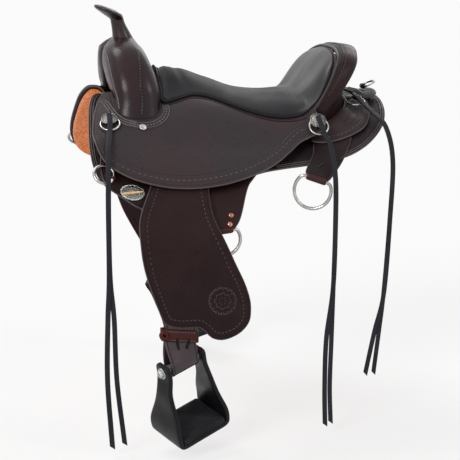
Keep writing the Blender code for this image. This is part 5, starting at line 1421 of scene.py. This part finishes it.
def hobble(side, hand, body):
    """Strap round both runs of the stirrup leather, with its lace knot and two lace tails."""
    half_wide = LEATHER_WIDTH / 2 + EASE * 2.4
    half_deep = STRAP_THICK + EASE
    s_mid = HOBBLE_S - HOBBLE_WIDTH / 2 - 0.001
    x_mid = PIVOT_X - LEATHER_LEAN
    c, d = np.cos(circle(48)), np.sin(circle(48))
    wide, deep = np.sign(c) * np.abs(c)**HOBBLE_POWER, np.sign(d) * np.abs(d)**HOBBLE_POWER
    rings = []
    for share, grow in HOBBLE_SECTION:
        lift = FLARE + STRAP_LIFT - GAP + deep * (half_deep + HOBBLE_WALL * grow)
        x = x_mid + wide * (half_wide + HOBBLE_WALL * grow)
        rings.append(place(x, side * (s_mid + share * HOBBLE_WIDTH / 2), lift))
    loft(f"hobble_band_{hand}", rings, "hobble", ["hobble_strap_" + hand], closed=True, body=body)
    outer = STRAP_LIFT + FLARE + half_deep + HOBBLE_WALL
    for word, share in (("top", -0.66), ("low", 0.66)):
        at = side * (s_mid + share * HOBBLE_WIDTH / 2)
        line = [(x_mid + k, at) for k in np.linspace(-0.028, 0.028, 20)]
        sewn(f"hobble_stitches_{word}_{hand}", line, level(outer + 0.0002), "thread", HOBBLE_STITCH,
             body=body)
    edge = x_mid - half_wide - HOBBLE_WALL
    x, s, rise = np.transpose(HOBBLE_KNOT)
    knot = place(edge + x, side * (s_mid + s), outer + rise - 0.0008)
    tube(f"hobble_knot_{hand}", bend(knot, 0.0025), LACE_KNOT, "hobble", body=body)
    for k, (x, drop, lean) in enumerate(HOBBLE_TAILS):
        start = place(edge + x, side * (s_mid + 0.006), outer + 0.0008)
        steps = [(0, 0, 0), (0.001, 0, -0.006), (lean, -side * 0.001, -drop * 0.6),
                 (lean * 1.6, -side * 0.0005, -drop)]
        ribbon(f"hobble_lace_{k}_{hand}", bend(start + steps, 0.003), 0.0036, 0.0016, "black", body=body,
               slot="string")


def ribbon(name, path, width, thick, sheen, replaced=(), cut_end=0.0, **where):
    """Flat lace along a path: crowned face, rounded edges, and an end cut on the skew."""
    along = unit(np.gradient(path, axis=0))
    across = unit(np.array([1.0, 0, 0]) - along * along[:, :1])
    out = np.cross(across, along)
    rings = np.stack([path + across * width / 2 * c + out * thick / 2 * d for c, d in LACE_SECTION], 1)
    rings[-1] += np.outer([cut_end * c for c, d in LACE_SECTION], along[-1])
    return loft(name, rings, sheen, replaced, **where)


HALF_TOP = NECK_WIDTH / 2 + ARM_THICK / 2
HALF_LOW = TREAD_LENGTH / 2 - ARM_THICK / 2
IRON_HALF = [(-HALF_TOP, 0.014), (-HALF_TOP, -0.012), (-HALF_TOP - 0.006, -0.045),
             (-HALF_LOW + 0.006, -0.085), (-HALF_LOW, -0.118), (-HALF_LOW, 0.010 - STIRRUP_HEIGHT),
             (-HALF_LOW + 0.0030, 0.0025 - STIRRUP_HEIGHT), (-HALF_LOW + 0.012, -STIRRUP_HEIGHT),
             (-0.020, -STIRRUP_HEIGHT)]
IRON_WIDENS = (-0.030, 0.045 - STIRRUP_HEIGHT)
IRON_ENDS = (0.80, 0.93, 1.0)


def iron(side, hand, body):
    """Bent frame of the stirrup: rounded edges, wider towards the tread, eased at both ends."""
    centre, along, foot, up = stirrup_frame(side)
    path = bend(IRON_HALF + [(-a, b) for a, b in reversed(IRON_HALF)], 0.004)
    c, d = np.cos(circle(28)), np.sin(circle(28))
    wide, thick = np.sign(c) * np.abs(c)**0.18, np.sign(d) * np.abs(d)**0.30
    rings = []
    for i, p in enumerate(path):
        run = unit(path[min(i + 1, len(path) - 1)] - path[max(i - 1, 0)])
        deep = (ARM_DEPTH + (TREAD_DEPTH - ARM_DEPTH) * ease(p[1], *IRON_WIDENS)) / 2
        deep *= IRON_ENDS[min(i, len(path) - 1 - i, 2)]
        flat = p + np.outer(ARM_THICK / 2 * thick, (run[1], -run[0]))
        rings.append(centre + np.outer(flat[:, 0], along) + np.outer(flat[:, 1], up)
                     + np.outer(deep * wide, foot))
    loft(f"stirrup_frame_{hand}", rings, "black", [body], body=body)


TREAD_OUTLINE = [(-1, -0.90), (-0.97, -0.99), (0, -1), (0.97, -0.99), (1, -0.90), (1, 0.90), (0.97, 0.99),
                 (0, 1), (-0.97, 0.99), (-1, 0.90)]
TREAD_RISE = ((1.0, 0), (1.0, 0.86), (0.992, 0.96), (0.975, 1))
RIBS = np.linspace(-0.86, 0.86, 19)
RIB_STEPS = ((-0.0016, 0.98), (-0.0010, 1.12), (0.0010, 1.12), (0.0016, 0.98))


def tread(side, hand, body):
    """Rubber tread with ribs across it."""
    centre, along, foot, up = stirrup_frame(side)
    top = ARM_THICK / 2 - STIRRUP_HEIGHT + GAP
    long, deep = TREAD_LENGTH / 2 - ARM_THICK - 0.0015, TREAD_DEPTH / 2 - 0.0012

    def at(x, y, high):
        x, y, high = np.broadcast_arrays(x, y, high)
        return centre + np.outer(x, along) + np.outer(y, foot) + np.outer(top + PAD_HEIGHT * high, up)

    shape = bend(TREAD_OUTLINE, 0.12, True) * (long, deep)
    rings = [at(*(shape * shrink).T, high) for shrink, high in TREAD_RISE]
    loft(f"tread_rubber_{hand}", rings, "rubber", ["tread_pad_" + hand], body=body)
    across = np.array([-1, -0.985, 0.985, 1]) * long * 0.93
    ribs = [at(across, k * deep + step, [0.98, high, high, 0.98]) for k in RIBS for step, high in RIB_STEPS]
    faces = [[i + 16 * n for i in f] for n in range(len(RIBS)) for f in loft_faces(4, 4)]
    mesh_object(f"tread_ribs_{hand}", np.vstack(ribs), faces, "rubber", body=body)


def bolt(side, hand, body):
    """Bolt through the neck, with roller, washer and six-sided nut."""
    centre, along, foot, up = stirrup_frame(side)
    nut = BOLT_RADIUS * 1.9
    end = HALF_TOP + ARM_THICK / 2 + GAP
    inner = NECK_WIDTH / 2 - GAP * 2
    profile = [(nut * 0.8, -end - 0.0072), (nut, -end - 0.0062), (nut, -end - 0.0016),
               (nut * 1.46, -end - 0.0015), (nut * 1.5, -end - 0.0008), (nut * 1.5, -end),
               (BOLT_RADIUS, -end), (BOLT_RADIUS, -inner), (ROLLER_RADIUS, -inner), (ROLLER_RADIUS, inner),
               (BOLT_RADIUS, inner), (BOLT_RADIUS, end), (nut * 1.4, end), (nut * 1.4, end + 0.003),
               (nut * 1.2, end + 0.0052), (nut * 0.6, end + 0.0065)]

    def six(turns, radius):
        if min(abs(radius - nut), abs(radius - nut * 0.8)) > 1e-5:
            return np.ones(len(turns))
        return 0.90 / np.cos(turns % (math.pi / 3) - math.pi / 6)

    turned(f"stirrup_bolt_{hand}_steel", centre, along, profile, "steel", ["stirrup_bolt_" + hand], 48, six,
           body=body)


def stirrup(side, hand):
    """Stirrup: bent frame, ribbed rubber tread, and bolt with roller and nut."""
    for build in (iron, tread, bolt):
        build(side, hand, "stirrup_" + hand)


def turn_about(point, axis, angle):
    """Turn about an axis through a point."""
    point = Vector(point)
    return Matrix.Translation(point) @ Matrix.Rotation(angle, 4, Vector(axis)) @ Matrix.Translation(-point)


def swing_far(pieces, tuck):
    """Put the far side's pieces where its joints rest: swung back, and the stirrup tucked."""
    turn = turn_about(*joint("fender_right"), -FAR_SWING)
    if tuck:
        centre, along, foot, up = stirrup_frame(-1)
        turn = turn @ turn_about(centre, along, FAR_TUCK)
    for piece in pieces:
        piece.data.transform(turn)
        piece.data.update()


# Strings: way over the leather as (forward, down, height or what it lies over), the way down that both
# laces share, and the rest of each lace
STRINGS = {
    "front": ([(0, -0.006, "face"), (0, 0.014, "face"), (-0.003, 0.036, "ring"), (-0.008, 0.062, 0.0085),
               (-0.013, 0.090, 0.0100)],
              [(-0.289, -0.280, -0.062), (-0.291, -0.288, -0.120)],
              [[(-0.292, -0.288, -0.250), (-0.296, -0.288, -0.330), (-0.299, -0.288, -0.450),
                (-0.292, -0.288, -0.585)],
               [(-0.290, -0.288, -0.250), (-0.284, -0.288, -0.330), (-0.281, -0.288, -0.450),
                (-0.268, -0.288, -0.580)]]),
    "middle": ([(0, -0.006, "face"), (0.003, 0.014, "face"), (0.007, 0.036, "ring")],
               [(0.150, -0.232, -0.020), (0.153, -0.260, -0.080), (0.153, -0.265, -0.180)],
               [[(0.150, -0.265, -0.300), (0.138, -0.265, -0.400), (0.136, -0.265, -0.500),
                 (0.138, -0.265, -0.580)],
                [(0.151, -0.265, -0.300), (0.149, -0.265, -0.400), (0.147, -0.265, -0.500),
                 (0.150, -0.265, -0.576)]]),
    "back": ([(0, -0.006, "face"), (0.003, 0.014, "face"), (0.009, 0.036, "ring"), (0.019, 0.064, 0.0085)],
             [(0.278, -0.184, 0.006), (0.289, -0.200, -0.060), (0.285, -0.203, -0.180),
              (0.276, -0.203, -0.330)],
             [[(0.258, -0.203, -0.410), (0.240, -0.203, -0.500)],
              [(0.268, -0.203, -0.410), (0.258, -0.203, -0.500)]]),
}
STRING_OVER = {"face": CONCHO_RING_WIRE + CONCHO_THICK + CONCHO_DOME + GAP * 4 + STRING_THICK / 2,
               "ring": CONCHO_RING_WIRE + EASE + STRING_THICK / 2}
LACE_SHIFTS = (0.0009, -0.0009)


def string_start(word, trunk):
    """Way of a string from its concho over the leather."""
    hub, out, down = hub_of(word, 1, "left")
    flat = unit(np.cross(down, out))
    flat = flat if flat[0] > 0 else -flat
    leather_top = back_top if word == "back" else seat_lift
    start = []
    for forward, along, over in trunk:
        if over in STRING_OVER:
            start.append(hub + flat * forward + down * along + out * STRING_OVER[over])
        else:
            x, s = CONCHOS[word][0] + forward, CONCHOS[word][1] + along
            start.append(place(x, s, leather_top(x, s)) + out * over)
    return start


def strings():
    """Near saddle strings: each is two flat laces that lie together from the concho and then part."""
    for word, (trunk, shared, tails) in STRINGS.items():
        for k, tail in enumerate(tails):
            path = bend(np.vstack(string_start(word, trunk) + shared + tail), 0.0075)
            face = unit(np.cross((1.0, 0, 0), unit(np.gradient(path, axis=0))))
            path = path + np.where(face[:, 1:2] > 0, -face, face) * LACE_SHIFTS[k]
            piece = ribbon(f"{word}_lace_{k}", path, STRING_WIDTH * (1.0, 0.96)[k], STRING_THICK / 2 * 0.96,
                           "string", [f"{word}_string_left"] if k == 0 else (), 0.004)


def finish_nodes():
    """Hide for the CAD nodes that show as they are."""
    for name in ("tree_fork", "ground_seat"):
        materials = frame["nodes"][name].data.materials
        materials.clear()
        materials.append(SHEEN["core"])


def seen_directly(nodes, links):
    """1 for what the camera sees, straight or in metal and glass, and 0 for light that it gives."""
    path = nodes.new("ShaderNodeLightPath")
    share = path.outputs["Is Camera Ray"]
    for word in ("Is Glossy Ray", "Is Transmission Ray"):
        most = nodes.new("ShaderNodeMath")
        most.operation = "MAXIMUM"
        links.new(share, most.inputs[0])
        links.new(path.outputs[word], most.inputs[1])
        share = most.outputs[0]
    return share


def camera():
    """Camera of the photograph."""
    data = bpy.data.cameras.new("camera")
    data.lens = VIEW_LENS
    data.sensor_width = 36
    data.clip_end = 100
    obj = bpy.data.objects.new("camera", data)
    flat = math.cos(VIEW_ELEVATION)
    back = Vector((math.sin(VIEW_AZIMUTH) * flat, -math.cos(VIEW_AZIMUTH) * flat,
                   math.sin(VIEW_ELEVATION)))
    obj.location = VIEW_TARGET + back * VIEW_DISTANCE
    obj.rotation_euler = back.to_track_quat("Z", "Y").to_euler()
    bpy.context.scene.collection.objects.link(obj)
    bpy.context.scene.camera = obj


def studio_floor():
    """Pale floor that shows near white to the camera."""
    bpy.ops.mesh.primitive_plane_add(size=90, location=(0, 0, FLOOR_Z))
    floor = bpy.context.object
    floor.name = "studio_floor"
    t = Tree("studio_floor")
    t.surface(t.mix(t.ramp(t.noise(3.0, 2.0), 0.3, 0.7), *FLOOR_TONES), 0.9, specular=0.0)
    glow = t.add("ShaderNodeEmission", Strength=1.0)
    mixed = t.add("ShaderNodeMixShader")
    t.set(mixed.inputs[0], t.math("MULTIPLY", seen_directly(t.nodes, t.links), FLOOR_GLOW))
    t.set(mixed.inputs[1], t.shader.outputs[0])
    t.set(mixed.inputs[2], glow.outputs[0])
    t.set(t.nodes["Material Output"].inputs["Surface"], mixed.outputs[0])
    floor.data.materials.append(t.material)


def light():
    """Soft suns, and a grey world that the camera sees as white."""
    scene = bpy.context.scene
    for name, way, power, spread in SUNS:
        lamp = bpy.data.lights.new(name, "SUN")
        lamp.energy = power
        lamp.angle = math.radians(spread)
        sun = bpy.data.objects.new(name, lamp)
        sun.rotation_euler = Vector(way).to_track_quat("Z", "Y").to_euler()
        scene.collection.objects.link(sun)
    world = bpy.data.worlds.new("studio")
    scene.world = world
    world.use_nodes = True
    nodes, links = world.node_tree.nodes, world.node_tree.links
    nodes["Background"].inputs["Color"].default_value = FILL
    white = nodes.new("ShaderNodeBackground")
    white.inputs["Color"].default_value = (1, 1, 1, 1)
    mix = nodes.new("ShaderNodeMixShader")
    links.new(seen_directly(nodes, links), mix.inputs[0])
    links.new(nodes["Background"].outputs[0], mix.inputs[1])
    links.new(white.outputs[0], mix.inputs[2])
    links.new(mix.outputs[0], nodes["World Output"].inputs["Surface"])
    scene.view_settings.view_transform = "Standard"


def hang(build, side, hand, tuck):
    """Build what hangs on one side, and swing it where it belongs if that is the far side."""
    first = len(MADE)
    build(side, hand)
    if side < 0:
        swing_far(MADE[first:], tuck)


def dress():
    """Every modelled piece of the saddle."""
    for build in (back_jockey, crupper, seat, swell, horn, cantle, cantle_wall):
        build()
    for side, hand in SIDES:
        skirts(side, hand)
        rigging(side, hand)
        for word in CONCHOS:
            concho(word, side, hand)
        hang(fender, side, hand, False)
        hang(stirrup, side, hand, True)
    strings()
    finish_nodes()


camera()
studio_floor()
light()
dress()
